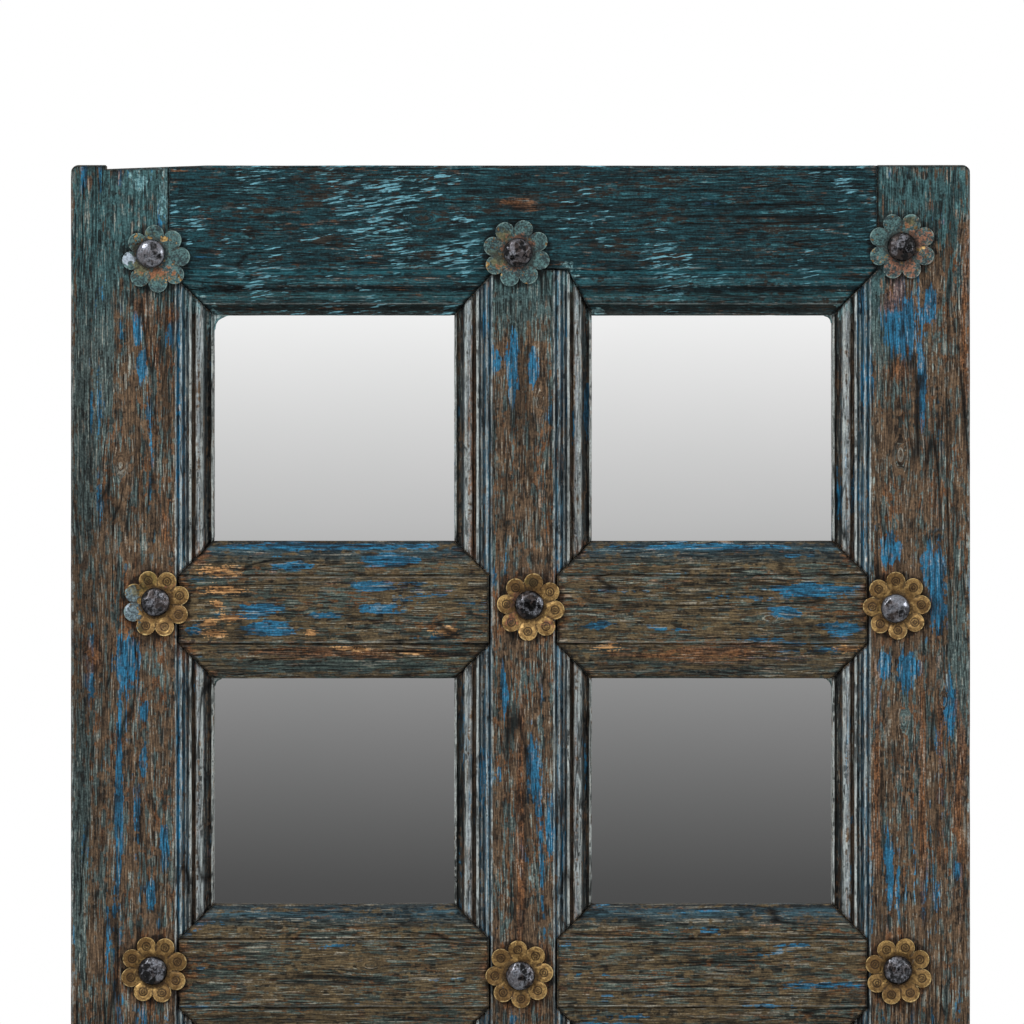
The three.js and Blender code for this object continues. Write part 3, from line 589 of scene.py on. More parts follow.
BLUE_WORN = {"stile_paint": 0.37, "top_rail_paint": 0.6, "rail_paint": 0.4}
slot_of = {part["node"]: part["material_slot"] for part in frame["record"]["subparts"]}


def middle_of(node):
    """The x and z of a node's middle, in millimetres."""
    low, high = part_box(node)
    return (low.x + high.x) / 2 / MM, (low.z + high.z) / 2 / MM


GRIMY_RADIUS = 27.0
# Painted shadow round the flowers: the wood is darkened in a ring just outside each flower's outline.
STUD_SHADOW_RADIUS = 23.0
STUD_SHADOW_FADES = (0.0, 0.2)
STUD_PLACES = [(*middle_of(n), GRIMY_RADIUS, GRIMY_RADIUS) for n in slot_of if slot_of[n] == "aged_brass"]
STUD_SHADOW_PLACES = [(*middle_of(n), STUD_SHADOW_RADIUS, STUD_SHADOW_RADIUS) for n in slot_of if n.startswith("flower_")]


def coat(mesh, material):
    """Gives a mesh its finish, and smooths it except at its sharp edges."""
    mesh.materials.clear()
    mesh.materials.append(material)
    mesh.shade_smooth()
    mesh.set_sharp_from_angle(angle=SMOOTHED_BELOW)


def fit(name, mesh, node, body=BODY_OF_LEAF):
    """Puts a finished mesh in the place of a node of the model."""
    piece = bpy.data.objects.new(name, mesh)
    scene.collection.objects.link(piece)
    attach(piece, body)
    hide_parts(node)


def cut_to(skin, solid, operation):
    """The mesh that is left of a skin within a solid, or beside it."""
    tool = bpy.data.objects.new("cutter", solid)
    worked = bpy.data.objects.new("worked", skin)
    scene.collection.objects.link(tool)
    scene.collection.objects.link(worked)
    modifier = worked.modifiers.new("cut", "BOOLEAN")
    modifier.object = tool
    modifier.operation = operation
    modifier.solver = "MANIFOLD"
    mesh = bpy.data.meshes.new_from_object(worked.evaluated_get(bpy.context.evaluated_depsgraph_get()))
    bpy.data.objects.remove(worked)
    bpy.data.objects.remove(tool)
    return mesh


def lay_grain(mesh, run, along, seed):
    """Tells a mesh's finish where each point lies on the wood: across and along the grain."""
    runs = np.stack([run, along, np.full(run.shape, seed)], axis=-1)
    attribute = mesh.attributes.new("grain", "FLOAT_VECTOR", "POINT")
    attribute.data.foreach_set("vector", runs.astype(np.float32).ravel())


def member_skin(node, grain, seed, step_across, step_along, knots):
    """A member's mesh, and the finish's places on it as attributes of its points."""
    solid, corners, face, joints = read_member(node, grain)
    across, y, inward, unrolled, crest, kind = loop_round(corners, face, step_across)
    low, high = (corner[grain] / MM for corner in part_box(node))
    rings = np.linspace(low - PAST_THE_END, high + PAST_THE_END, int((high - low) / step_along))
    shape = (len(rings), len(across))

    def on_rings(values):
        return np.broadcast_to(values[None, :], shape)

    along = np.broadcast_to(rings[:, None], shape)
    round_it = on_rings(unrolled)
    flat_across = on_rings(across)
    depth, run, height, crack = weather(round_it, along, seed, knots)
    to_joint = distance_to(joints, flat_across, along)
    radius = WEAR_RADIUS * (1 + layer("worn", round_it, along, seed))
    worn = np.clip(radius - to_joint, 0, None)
    worn = radius - np.sqrt(np.maximum(radius ** 2 - worn ** 2, 0))
    strength = np.select([kind == FACE, kind == BACK], [1.0, BACK_WEATHERED], SIDES_WEATHERED)
    strength = strength * np.where(np.abs(crest) > CRISP_CREST, CREST_WEATHERED, 1.0)
    depth = np.minimum(depth * strength[None, :] + worn * (kind == FACE)[None, :], DEEPEST_WEAR)
    points = np.empty((*shape, 3))
    points[..., 2 - grain] = flat_across + depth * inward[None, :, 0]
    points[..., 1] = y[None, :] + depth * inward[None, :, 1]
    points[..., grain] = along
    x, z = (flat_across, along) if grain == UPRIGHT else (along, flat_across)
    slot = slot_of[node]
    below_middle = flat_across < (corners[0] + corners[-1]) / 2
    grimy = np.clip(GRIME_FADES * patches(STUD_PLACES, x, z), 0, 1)
    stud_shadow = smooth(patches(STUD_SHADOW_PLACES, x, z), *STUD_SHADOW_FADES)
    ragged = layer("frayed", run, along, seed) + layer("torn", round_it, along, seed)
    remnant = layer("broad", run, along, seed) + layer("narrow", run, along, seed)
    film = FILM_LEFT[slot] + FILM_PATCH * np.clip(patches(FILM_PLACES, x, z), 0, 1)
    blue = np.maximum(
        patches(BLUE_PLACES, x, z) + BLUE_FRAYS * ragged, BLUE_REMNANTS * remnant - BLUE_WORN[slot])
    rust = np.maximum(patches(RUST_PLACES, x, z), GRIME_RUSTS * grimy - RUST_HELD_BACK)
    fields = {
        "height": height,
        "crack": crack,
        # Darker along the joints, and painted shadow in a ring round each flower.
        "joint": np.maximum(smooth(-to_joint, -JOINT_DIRT, 0.0), stud_shadow),
        "crest": on_rings(crest),
        "from_edge": on_rings(distance_from_edge(across, corners, face)),
        "banded": np.where((slot == "rail_paint") & below_middle, BANDS_BELOW, 1.0),
        "film": film - GRIME_ON_FILM * grimy,
        "blue": blue - GRIME_ON_BLUE * grimy,
        "rust": rust + RUST_FRAYS * ragged + JOINTS_RUST * smooth(-to_joint, *JOINT_RUST_FADES),
        "raw": patches(RAW_PLACES, x, z) + RAW_FRAYS * ragged,
        "upper": smooth(z + layer("paint_line", x, z, seed), *UPPER_FADES) * (grain == UPRIGHT),
        "turquoise": patches(TURQUOISE_PLACES, x, z) + RUST_FRAYS * ragged,
        "sooty": np.clip(DARKER_STRIP_FADES * patches(DARKER_STRIP_PLACES, x, z), 0, 1),
        "face": on_rings(kind == FACE),
        "bare": on_rings(kind == BACK),
    }
    skin = closed_mesh(node + "_skin", points, tube_of(*shape), fields)
    lay_grain(skin, run, along, seed)
    return cut_to(skin, solid, "INTERSECT")


def give_surface(start, strength, depth, relief, inputs):
    """Ends a material's nodes with its surface, whose finest relief is a bump of this depth in metres."""
    bumps = start.node("Bump", {}, {"Strength": strength, "Distance": depth, "Height": relief})
    surface = start.node("BsdfPrincipled", {}, {**inputs, "Normal": bumps})
    start.node("OutputMaterial", {}, {"Surface": surface})


# Noises that run with the grain: how often each changes in a millimetre across it and along it, and
# its detail. Then those that run all ways, in a metre.
GRAIN_NOISES = {
    "fibre": (1.15, 0.085, 2), "streak": (0.36, 0.03, 3), "tone": (0.075, 0.014, 2),
    "scratch": (0.7, 0.022, 1), "lines": (0.21, 0.014, 2), "hairs": (0.62, 0.03, 1),
}
SPECKS, GRITS, SPARSE = 740, 230, 20
STROKE_SLANT = 0.16
STROKE_STRETCH = (90, 90, 760)
BAND_SOFT = 1.5


def wood_finish(name, bare, warm, film, pale, bands, band_span, strokes, painted_light, strength):
    """Weathered wood under old paint: a film of it, patches of bright blue, rust, chips and strokes.
    bare, warm and film are pairs of colours. pale is on the scratches and on the grain's ridges, where
    it is partly worn paint and partly a painted highlight. One number sets how strongly the mouldings'
    crests get a painted highlight and their hollows painted shade."""
    material, start = new_material(name)
    spot, mapped = start.spot(), start.mapped
    grain = mapped("grain", "Vector")
    fibre, streak, tone, scratch, lines, hairs = [
        grain.stretched(across, along, 1.0).clouds(1.0, detail)
        for across, along, detail in GRAIN_NOISES.values()]
    height, crack, crest = mapped("height"), mapped("crack"), mapped("crest")
    speck, grit = spot.clouds(SPECKS, 1), spot.clouds(GRITS, 2)
    wood = (fibre * 0.6 + streak * 0.3 + speck * 0.1).blend(*bare)
    warmth = (tone * 0.8 + streak * 0.8 + grit * 0.2).step(0.85, 1.15)
    wood = warmth.blend(wood, (fibre * 0.7 + speck * 0.3).blend(*warm))
    paint = (fibre * 0.5 + grit * 0.3 + speck * 0.2).blend(*film)
    keeps = mapped("film") + streak.swing(0.9) + fibre.swing(0.45) + tone.swing(0.5)
    keeps = keeps + grit.swing(0.4)
    teal = (fibre * 0.4 + streak * 0.4 + speck * 0.2).blend(srgb(6, 32, 38), srgb(70, 118, 122))
    paint = (mapped("upper") * 0.75).blend(paint, teal)
    colour = keeps.step(-0.12, 0.2).blend(wood, paint)
    from_edge = mapped("from_edge")
    moulding = 1 - from_edge.step(band_span - BAND_SOFT, band_span)
    moulding = moulding * (streak * 0.6 + grit * 0.4).step(0.1, 0.5)
    banded = (from_edge + streak.swing(0.9)) / band_span
    stops = [(place / band_span, shade) for place, shade in bands]
    banded = banded.node("ValToRGB", {"stops": stops}, {0: banded})
    # The moulding's bands: its paint, with painted shade in the coves and painted highlights on the beads.
    colour = (moulding * mapped("banded") * 0.85).blend(colour, banded)
    blue = mapped("blue") + fibre.swing(0.3) + grit.swing(0.32) + streak.swing(0.2)
    blue = blue.step(0.15, 0.24) * (1 - mapped("bare"))
    paint = (streak * 0.4 + fibre * 0.4 + speck * 0.2).blend(srgb(14, 78, 106), srgb(34, 124, 166))
    colour = (blue * 0.94).blend(colour, paint)
    rust = (mapped("rust") + fibre.swing(0.6) + grit.swing(0.4) + streak.swing(0.4)).step(0.15, 0.6)
    rust = rust * 0.75
    colour = rust.blend(colour, (fibre * 0.5 + speck * 0.5).blend(srgb(72, 46, 30), srgb(142, 94, 56)))
    raw = (mapped("raw") + fibre.swing(0.9) + speck.swing(0.4)).step(0.25, 0.4)
    colour = raw.blend(colour, fibre.blend(srgb(146, 98, 56), srgb(206, 160, 108)))
    crust = (mapped("turquoise") + grit.swing(0.9)).step(0.15, 0.45) * 0.8
    colour = crust.blend(colour, (grit * 0.5 + speck * 0.5).blend(srgb(52, 96, 106), srgb(150, 196, 200)))
    if strokes:
        slanted = {"Vector": spot, "Angle": STROKE_SLANT}
        turned = start.node("VectorRotate", {"rotation_type": "Y_AXIS"}, slanted)
        brushed = turned.stretched(*STROKE_STRETCH).clouds(1.0, 1)
        sparse = spot.clouds(SPARSE, 2)
        mark = (brushed + sparse.swing(0.8) + fibre.swing(0.3)).step(0.98, 1.12) * strokes * mapped("face")
        colour = mark.blend(colour, srgb(116, 176, 192))
    # Pale on the grain's ridges: partly worn paint, partly a painted highlight.
    ridge = (height * 0.8 + fibre.swing(0.9) + grit.swing(0.4) + speck.swing(0.3)).step(0.4, 0.95)
    colour = (ridge * 0.4).blend(colour, pale)
    scratch = (scratch + grit.swing(0.16)).step(0.93, 1.0) * 0.55
    colour = scratch.blend(colour, pale)
    # Painted highlight on the mouldings' crests.
    colour = ((crest + grit.swing(0.3)).step(0.12, 0.5) * painted_light).blend(colour, srgb(180, 188, 186))
    fissure = (1 - (lines - 0.5).size().step(0.03, 0.12)) * (grit + tone).step(0.7, 1.1)
    hair = (1 - (hairs - 0.5).size().step(0.08, 0.26)) * (streak + grit).step(0.6, 1.2)
    # Painted shade in the hollows between the grain's ridges.
    low = (0.1 - height + grit.swing(0.5)).step(0.0, 0.9) * 0.5
    # Painted shade in the mouldings' hollows.
    moulding_hollow_shade = (0 - crest + speck.swing(0.15)).step(0.1, 0.6) * painted_light * 0.75
    # Darker along the joints, and painted shadow in a ring round each flower.
    joint = (mapped("joint") + grit.swing(0.6)).step(0.2, 0.9) * 0.7
    dark = (1 - low) * (1 - crack * 0.88) * (1 - joint) * (1 - moulding_hollow_shade) * (1 - fissure * 0.75)
    # Darker down the strip along the leaf's left edge.
    dark = dark * (1 - mapped("sooty") * 0.42)
    shade = dark * (1 - hair * 0.6) * (0.64 + fibre * 0.55 + speck * 0.35 + grit * 0.15) * strength
    relief = speck * 0.3 + fibre * 0.8 + grit * 0.4 - fissure - hair
    give_surface(start, 0.8, 0.4 * MM, relief, {
        "Base Color": colour.scaled(shade), "Roughness": 0.9 - blue * 0.2 - speck * 0.1,
        "Specular IOR Level": 0.25})
    return material


# The paint on a moulding's members, from the edge of the opening outwards in millimetres, with
# painted shade in its coves and painted highlights on its beads and ridges.
UPRIGHT_BANDS = [
    (0.0, srgb(166, 174, 174)), (1.8, srgb(122, 126, 122)), (2.4, srgb(36, 42, 42)), (5.4, srgb(62, 72, 74)),
    (7.4, srgb(122, 136, 144)), (10.0, srgb(152, 162, 168)), (11.2, srgb(94, 80, 68)),
    (13.0, srgb(88, 72, 58)), (14.4, srgb(124, 140, 146)), (17.0, srgb(42, 76, 92)),
    (20.0, srgb(66, 112, 136)), (24.0, srgb(60, 82, 90)),
]
RAIL_BANDS = [
    (0.0, srgb(44, 50, 52)), (3.0, srgb(36, 62, 74)), (5.0, srgb(62, 98, 112)), (8.4, srgb(36, 64, 74)),
    (12.0, srgb(66, 72, 68)),
]
TOP_BANDS = [
    (0.0, srgb(66, 76, 74)), (3.6, srgb(24, 26, 24)), (6.0, srgb(28, 48, 48)), (9.0, srgb(44, 88, 94)),
    (12.6, srgb(48, 98, 104)), (14.4, srgb(8, 30, 36)), (17.4, srgb(12, 36, 42)), (19.8, srgb(54, 112, 122)),
    (22.8, srgb(8, 28, 34)), (25.8, srgb(48, 114, 126)), (30.0, srgb(16, 50, 58)),
]
WOOD_LOOKS = {
    "stile_paint": {
        "bare": (srgb(44, 36, 30), srgb(122, 98, 74)), "warm": (srgb(82, 52, 32), srgb(148, 100, 60)),
        "film": (srgb(26, 40, 43), srgb(106, 124, 121)), "pale": srgb(164, 165, 155),
        "bands": UPRIGHT_BANDS, "band_span": 24.0, "strokes": 0.0, "painted_light": 0.7, "strength": 1.04,
    },
    "top_rail_paint": {
        "bare": (srgb(24, 22, 20), srgb(62, 56, 48)), "warm": (srgb(44, 32, 26), srgb(80, 60, 44)),
        "film": (srgb(4, 24, 28), srgb(34, 86, 96)), "pale": srgb(80, 134, 142),
        "bands": TOP_BANDS, "band_span": 32.0, "strokes": 0.95, "painted_light": 0.4, "strength": 0.84,
    },
    "rail_paint": {
        "bare": (srgb(48, 42, 33), srgb(120, 102, 72)), "warm": (srgb(84, 56, 34), srgb(138, 94, 54)),
        "film": (srgb(40, 54, 54), srgb(98, 110, 101)), "pale": srgb(168, 162, 146),
        "bands": RAIL_BANDS, "band_span": 14.0, "strokes": 0.0, "painted_light": 0.15, "strength": 0.95,
    },
}
wood_finishes = {slot: wood_finish(slot, **looks) for slot, looks in WOOD_LOOKS.items()}
for node, *settings in MEMBERS:
    skin = member_skin(node, *settings)
    coat(skin, wood_finishes[slot_of[node]])
    fit("weathered_" + node, skin, node)


# ---- Flower washers ----
# Twelve washers stamped from thin brass sheet into eight round petals, each punched with two rings and
# a dot. They lie flat under the nails' heads and dish up from there. Those on the top rail are under
# its old paint, and rusted where that has gone. The others are bare, stained and dull.
ROWS = ("top", "upper", "lower", "bottom")
COLUMNS = ("left", "centre", "right")
PETALS = 8
PETAL_TURN = 2 * math.pi / PETALS
PETAL_RADIUS = 5.7
PETAL_REACH = 14.7
FLOWER_RADIUS = PETAL_REACH + PETAL_RADIUS
BRASS_SHEET = 0.9
FLAT_RADIUS = 9.4
FLOWER_DISH = 1.8
WASHER_HOLE = 3.9
EDGE_ROUND = 0.25
OUTLINE_POINTS = 176
FRONT_ROWS = 26
BACK_ROWS = 6
ROWS_CROWD = 1.4
# The rows round a washer's cut edge: the share of the way out, how far in, and the share of the sheet.
EDGE_ROWS = [(1.0, 0.07, 0.8), (1.0, 0.0, 0.5), (1.0, 0.07, 0.2)]
STIFF_WITHIN = 1.5
PETAL_BENDS = 0.8
BENT_BEYOND = (9.5, 20)
STIFF_BY_CREASE = 3
CROWN_HEIGHT = 0.5
CROWN_FROM = (9, 13)
CREASE_DEPTH = 0.35
CREASE_HALF = 0.7
CREASE_FROM = (9, 12)
RIM_RISE = 0.12
RIM_STARTS = (-1.1, -0.3)
# Noises on the sheet and at the edges of its marks: how strong and how large each is.
DENTS = [(0.16, 2.6), (0.3, 7)]
FRAYS = [(0.5, 3), (0.3, 1.2)]
MARKS_FRAY = 0.7
# How far from the nail the painted shadow of its head, with dirt, reaches, and how softly it ends.
NAIL_SHADOW_ENDS, NAIL_SHADOW_SOFT = 11.4, 2.4
PAINTED_PETAL = 0.3
# The punched rings' and dot's radius, half width and depth.
PUNCHED = [(2.4, 0.55, 0.3), (1.1, 0.42, 0.22), (0.0, 0.45, 0.25)]
# Where paint, rust, olive stain and bared metal with a painted silver-blue glint lie on some flowers: x
# and z from its middle, and half the width and height.
FLOWER_MARKS = {
    "top_left": {
        "rust": [(3, -9, 8, 4), (-2, -9, 6, 3)],
        "olive": [(-9, 3, 9, 13), (-8, -6, 9, 6), (2, -10, 9, 4)],
        "bared": [(-17.5, 0.5, 4.2, 4.2)],
    },
    "top_centre": {
        "rust": [(-8, 4, 3, 6), (2, 9, 7, 2.5), (8, 5, 3, 4), (-3, -9, 9, 2.5)],
        "olive": [(-10, -3, 8, 8), (-8, 10, 6, 5)],
        "bared": [],
    },
    "top_right": {
        "rust": [(11, 2, 11, 15), (2, -13, 12, 9), (-7, -8, 3, 6)],
        "olive": [(5, 15, 6, 4)],
        "bared": [],
    },
    "upper_left": {
        "rust": [(8, 10, 3, 2)],
        "olive": [(-12, 9, 7, 7), (-4, 15, 6, 5), (-10, -14, 5, 4)],
        "bared": [(-17, -1, 2, 3)],
    },
    "upper_centre": {
        "rust": [(-10, 2, 3, 8), (-12, -7, 5, 5), (12, -10, 5, 3)],
        "olive": [(0, 16, 5, 4)],
        "bared": [],
    },
}
PAINTED_PETALS = {"upper_left": [(-16, -6, 6, 8), (-15, 5, 5, 5)]}
UNDER_PAINT, BARE_BRASS = 0.75, -0.55


def turn_of(node, x, z):
    """How far a flower is turned, going by the tips of its petals."""
    away = np.array([(v.co.x / MM - x, v.co.z / MM - z) for v in frame["nodes"][node].data.vertices])
    tips = away[np.hypot(*away.T) > FLOWER_RADIUS - 0.5]
    return np.angle(np.exp(1j * PETALS * np.arctan2(tips[:, 1], tips[:, 0])).sum()) / PETALS


def full_turn(points):
    """Bearings evenly round a circle."""
    return np.linspace(0, 2 * math.pi, points, endpoint=False)


def uneven(layers, across, along, seed):
    """Noises added up, each with its strength and its size in millimetres."""
    return sum(
        strength * noise(across / size, along / size, seed + turn)
        for turn, (strength, size) in enumerate(layers))


def flower_mesh(rosette, seed):
    node = "flower_" + rosette
    x, z = middle_of(node)
    nail_x, nail_z = middle_of("nail_" + rosette)
    turn = turn_of(node, x, z)
    angle = full_turn(OUTLINE_POINTS)
    off = (angle - turn + PETAL_TURN / 2) % PETAL_TURN - PETAL_TURN / 2
    petal = np.round((angle - turn - off) / PETAL_TURN).astype(np.int64) % PETALS
    outline = PETAL_REACH * np.cos(off) + np.sqrt(PETAL_RADIUS ** 2 - (PETAL_REACH * np.sin(off)) ** 2)
    front = [(share, EDGE_ROUND, 1.0) for share in 1 - (1 - np.linspace(0, 1, FRONT_ROWS)) ** ROWS_CROWD]
    back = [(share, EDGE_ROUND, 0.0) for share in np.linspace(1, 0, BACK_ROWS)]
    share, inset, level = (column[:, None] for column in np.array(front + EDGE_ROWS + back).T)
    hole_x = nail_x - x + WASHER_HOLE * np.cos(angle)
    hole_z = nail_z - z + WASHER_HOLE * np.sin(angle)
    from_x = hole_x + ((outline - inset) * np.cos(angle) - hole_x) * share
    from_z = hole_z + ((outline - inset) * np.sin(angle) - hole_z) * share
    radius = np.hypot(from_x, from_z)
    local = np.arctan2(from_z, from_x) - turn
    local = (local + PETAL_TURN / 2) % PETAL_TURN - PETAL_TURN / 2
    to_petal = np.hypot(radius * np.cos(local) - PETAL_REACH, radius * np.sin(local))
    to_crease = radius * np.sin(PETAL_TURN / 2 - np.abs(local))
    from_nail = np.hypot(from_x + x - nail_x, from_z + z - nail_z)
    beyond = smooth(from_nail, FLAT_RADIUS, FLAT_RADIUS + STIFF_WITHIN)
    bend = PETAL_BENDS * (2 * hashed(petal, petal * 0, seed) - 1)
    bend = bend * smooth(radius, *BENT_BEYOND) * smooth(to_crease, 0, STIFF_BY_CREASE)
    crown = CROWN_HEIGHT * smooth(radius, *CROWN_FROM) * np.clip(1 - (to_petal / PETAL_RADIUS) ** 2, 0, 1)
    crease = np.exp(-(to_crease / CREASE_HALF) ** 2) * smooth(radius, *CREASE_FROM)
    dents = uneven(DENTS, from_x, from_z, seed + 1)
    rise = FLOWER_DISH * np.clip(from_nail - FLAT_RADIUS, 0, None) / (FLOWER_RADIUS - FLAT_RADIUS)
    lift = np.clip(rise + (bend + crown - CREASE_DEPTH * crease + dents) * beyond, 0, None)
    punched = [np.exp(-((to_petal - ring) / width) ** 2) for ring, width, depth in PUNCHED]
    stamped = sum(mark * depth for mark, (ring, width, depth) in zip(punched, PUNCHED))
    stamped = stamped * smooth(from_nail, FLAT_RADIUS, FLAT_RADIUS + 1)
    rim = smooth(radius - outline, *RIM_STARTS)
    height = lift + level * (BRASS_SHEET + RIM_RISE * rim - stamped)
    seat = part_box(node)[1].y / MM
    points = np.stack([x + from_x, seat - height, z + from_z], axis=-1)
    ragged = uneven(FRAYS, from_x, from_z, seed + 3)
    marks = FLOWER_MARKS.get(rosette, {"rust": [], "olive": [], "bared": []})
    fields = {name: patches(places, from_x, from_z) + ragged for name, places in marks.items()}
    all_over = UNDER_PAINT if slot_of[node] == "painted_brass" else BARE_BRASS
    painted = patches(PAINTED_PETALS.get(rosette, []), from_x, from_z) + PAINTED_PETAL
    fields["coat"] = np.maximum(painted, all_over) + MARKS_FRAY * ragged
    fields["punched"] = np.clip(sum(punched), 0, 1)
    fields["crease"] = crease
    fields["rim"] = rim
    fields["from_nail"] = from_nail
    fields["petal_tone"] = np.broadcast_to(hashed(petal, petal * 0 + 1, seed), radius.shape)
    return closed_mesh(node + "_stamping", points, quads_of(*radius.shape, rows_meet=True), fields)


def brass_finish(name, coat_dark, coat_light, sheen):
    """Aged brass sheet with stains, rust and what is left of a coat of paint. Painted highlights lie on
    its rims and bare spots, and painted shadow with dirt rings the nail.
    """
    material, start = new_material(name)
    spot, mapped = start.spot(), start.mapped
    speck, grit, cloud = spot.clouds(900, 1), spot.clouds(340, 2, 0.6), spot.clouds(110, 2, 0.6)
    tone = cloud + mapped("petal_tone").swing(0.3) + grit.swing(0.4)
    brass = tone.step(0.3, 0.7).blend(srgb(108, 82, 46), srgb(180, 146, 90))
    stain = (grit + cloud.swing(0.8) + speck.swing(0.5)).step(0.5, 0.7)
    brass = (stain * 0.6).blend(brass, srgb(74, 50, 28))
    paint = (grit * 0.4 + speck * 0.3 + cloud * 0.3).step(0.2, 0.8).blend(coat_dark, coat_light)
    film = (mapped("coat") + grit.swing(0.9)).step(0.1, 0.4)
    colour = film.blend(brass, paint)
    olive = (mapped("olive") + grit.swing(0.8)).step(0.0, 0.6)
    colour = (olive * 0.65).blend(colour, cloud.step(0.3, 0.7).blend(srgb(60, 58, 32), srgb(112, 100, 50)))
    rust = (mapped("rust") + grit.swing(1.1) + speck.swing(0.6)).step(0.1, 0.8)
    rusty = (cloud * 0.4 + grit * 0.3 + speck * 0.3).step(0.2, 0.8)
    colour = (rust * 0.8).blend(colour, rusty.blend(srgb(58, 36, 28), srgb(150, 92, 60)))
    # Bare metal, painted with a silver-blue glint.
    bared = (mapped("bared") + grit.swing(0.9)).step(0.05, 0.4)
    colour = bared.blend(colour, srgb(176, 190, 204))
    # Painted shadow of the nail's head, with dirt, darkens the flower next to it.
    nail_shadow_and_dirt = ((NAIL_SHADOW_ENDS - mapped("from_nail")) / NAIL_SHADOW_SOFT + grit.swing(1.1)).step(0.1, 1.0)
    colour = (nail_shadow_and_dirt * 0.62).blend(colour, srgb(44, 32, 26))
    lines = (mapped("punched") * (1 - film * 0.65)).step(0.25, 0.85)
    colour = (lines * 0.85).blend(colour, srgb(40, 26, 14))
    colour = ((mapped("crease") + grit.swing(0.6)).step(0.2, 0.9) * 0.7).blend(colour, srgb(40, 30, 22))
    # Painted highlight along the petals' rims, pale where they are painted.
    painted_light = (mapped("rim") + grit.swing(1.3)).step(0.55, 1.0)
    colour = (painted_light * 0.5).blend(colour, film.blend(srgb(220, 192, 134), srgb(140, 166, 162)))
    shade = 0.72 + speck * 0.56
    covered = film.larger(rust)
    give_surface(start, 0.5, 0.3 * MM, speck * 0.5 + grit * 0.6 + film * 0.5, {
        "Base Color": colour.scaled(shade), "Metallic": (1 - covered) * sheen,
        "Roughness": 0.38 + grit * 0.2 + covered * 0.35})
    return material


brass_finishes = {
    "painted_brass": brass_finish("painted_brass", srgb(26, 48, 52), srgb(78, 112, 112), sheen=0.6),
    "aged_brass": brass_finish("aged_brass", srgb(58, 72, 78), srgb(112, 132, 140), sheen=0.7),
}
FIRST_SEED, SEED_STEP = 211, 17
FLOWER_SEEDS = {
    row + "_" + column: FIRST_SEED + SEED_STEP * (level * len(COLUMNS) + place)
    for level, row in enumerate(ROWS) for place, column in enumerate(COLUMNS)
}
for rosette, seed in FLOWER_SEEDS.items():
    node = "flower_" + rosette
    stamping = flower_mesh(rosette, seed)
    coat(stamping, brass_finishes[slot_of[node]])
    fit("stamped_" + node, stamping, node)


# ---- Nails ----
# Twelve forged iron nails pin the joints and hold the flowers. A nail has a low domed head that the
# hammer left faceted, with its edge rolled under, on a square shank that tapers into the wood. Rubbing
# has brightened the ridges of the head, and the rest is dark, but for painted glints on some facets.
NAIL_STANDS_OFF = 1.3
HEAD_RADIUS = 8.8
HEAD_HEIGHT = 5.6
WIDEST_AT = 0.25
DOME_POWER = 1 / 2.2
NAIL_LENGTH = 27.0
SHANK_HALF = 2.2
TIP_HALF = 1.2
SQUARENESS = 9
NAIL_SIDES = 96
DOME_ROWS = 30
RIDGE_SHARPNESS = 14.0
# The head's underside, from the shank outwards: shares of its radius and of its height.
UNDERSIDE = [(0.86, 0.0), (0.94, 0.03), (0.985, 0.1), (1.0, 0.18)]
FACETS_WITHIN = 0.86
FACET_TURN = math.radians(137.5)
FACET_TILT = 0.22
SLOPE_SPAN = 0.01
CUTS_LEAST, CUTS_VARY = 0.6, 0.9
PITS = [(0.05, 0.8), (0.06, 2)]
# How many facets a head has and how deep they are cut, in millimetres. The rest have the last pair.
HAMMERED = {"top_left": (5, 0.12), "top_right": (6, 0.14), "upper_left": (8, 0.3), "": (12, 0.34)}


def dome(radius):
    """The height of a nail's head over its underside."""
    fall = np.clip(1 - (radius / HEAD_RADIUS) ** 2, 1e-4, 1) ** DOME_POWER
    return HEAD_HEIGHT * (WIDEST_AT + (1 - WIDEST_AT) * fall)


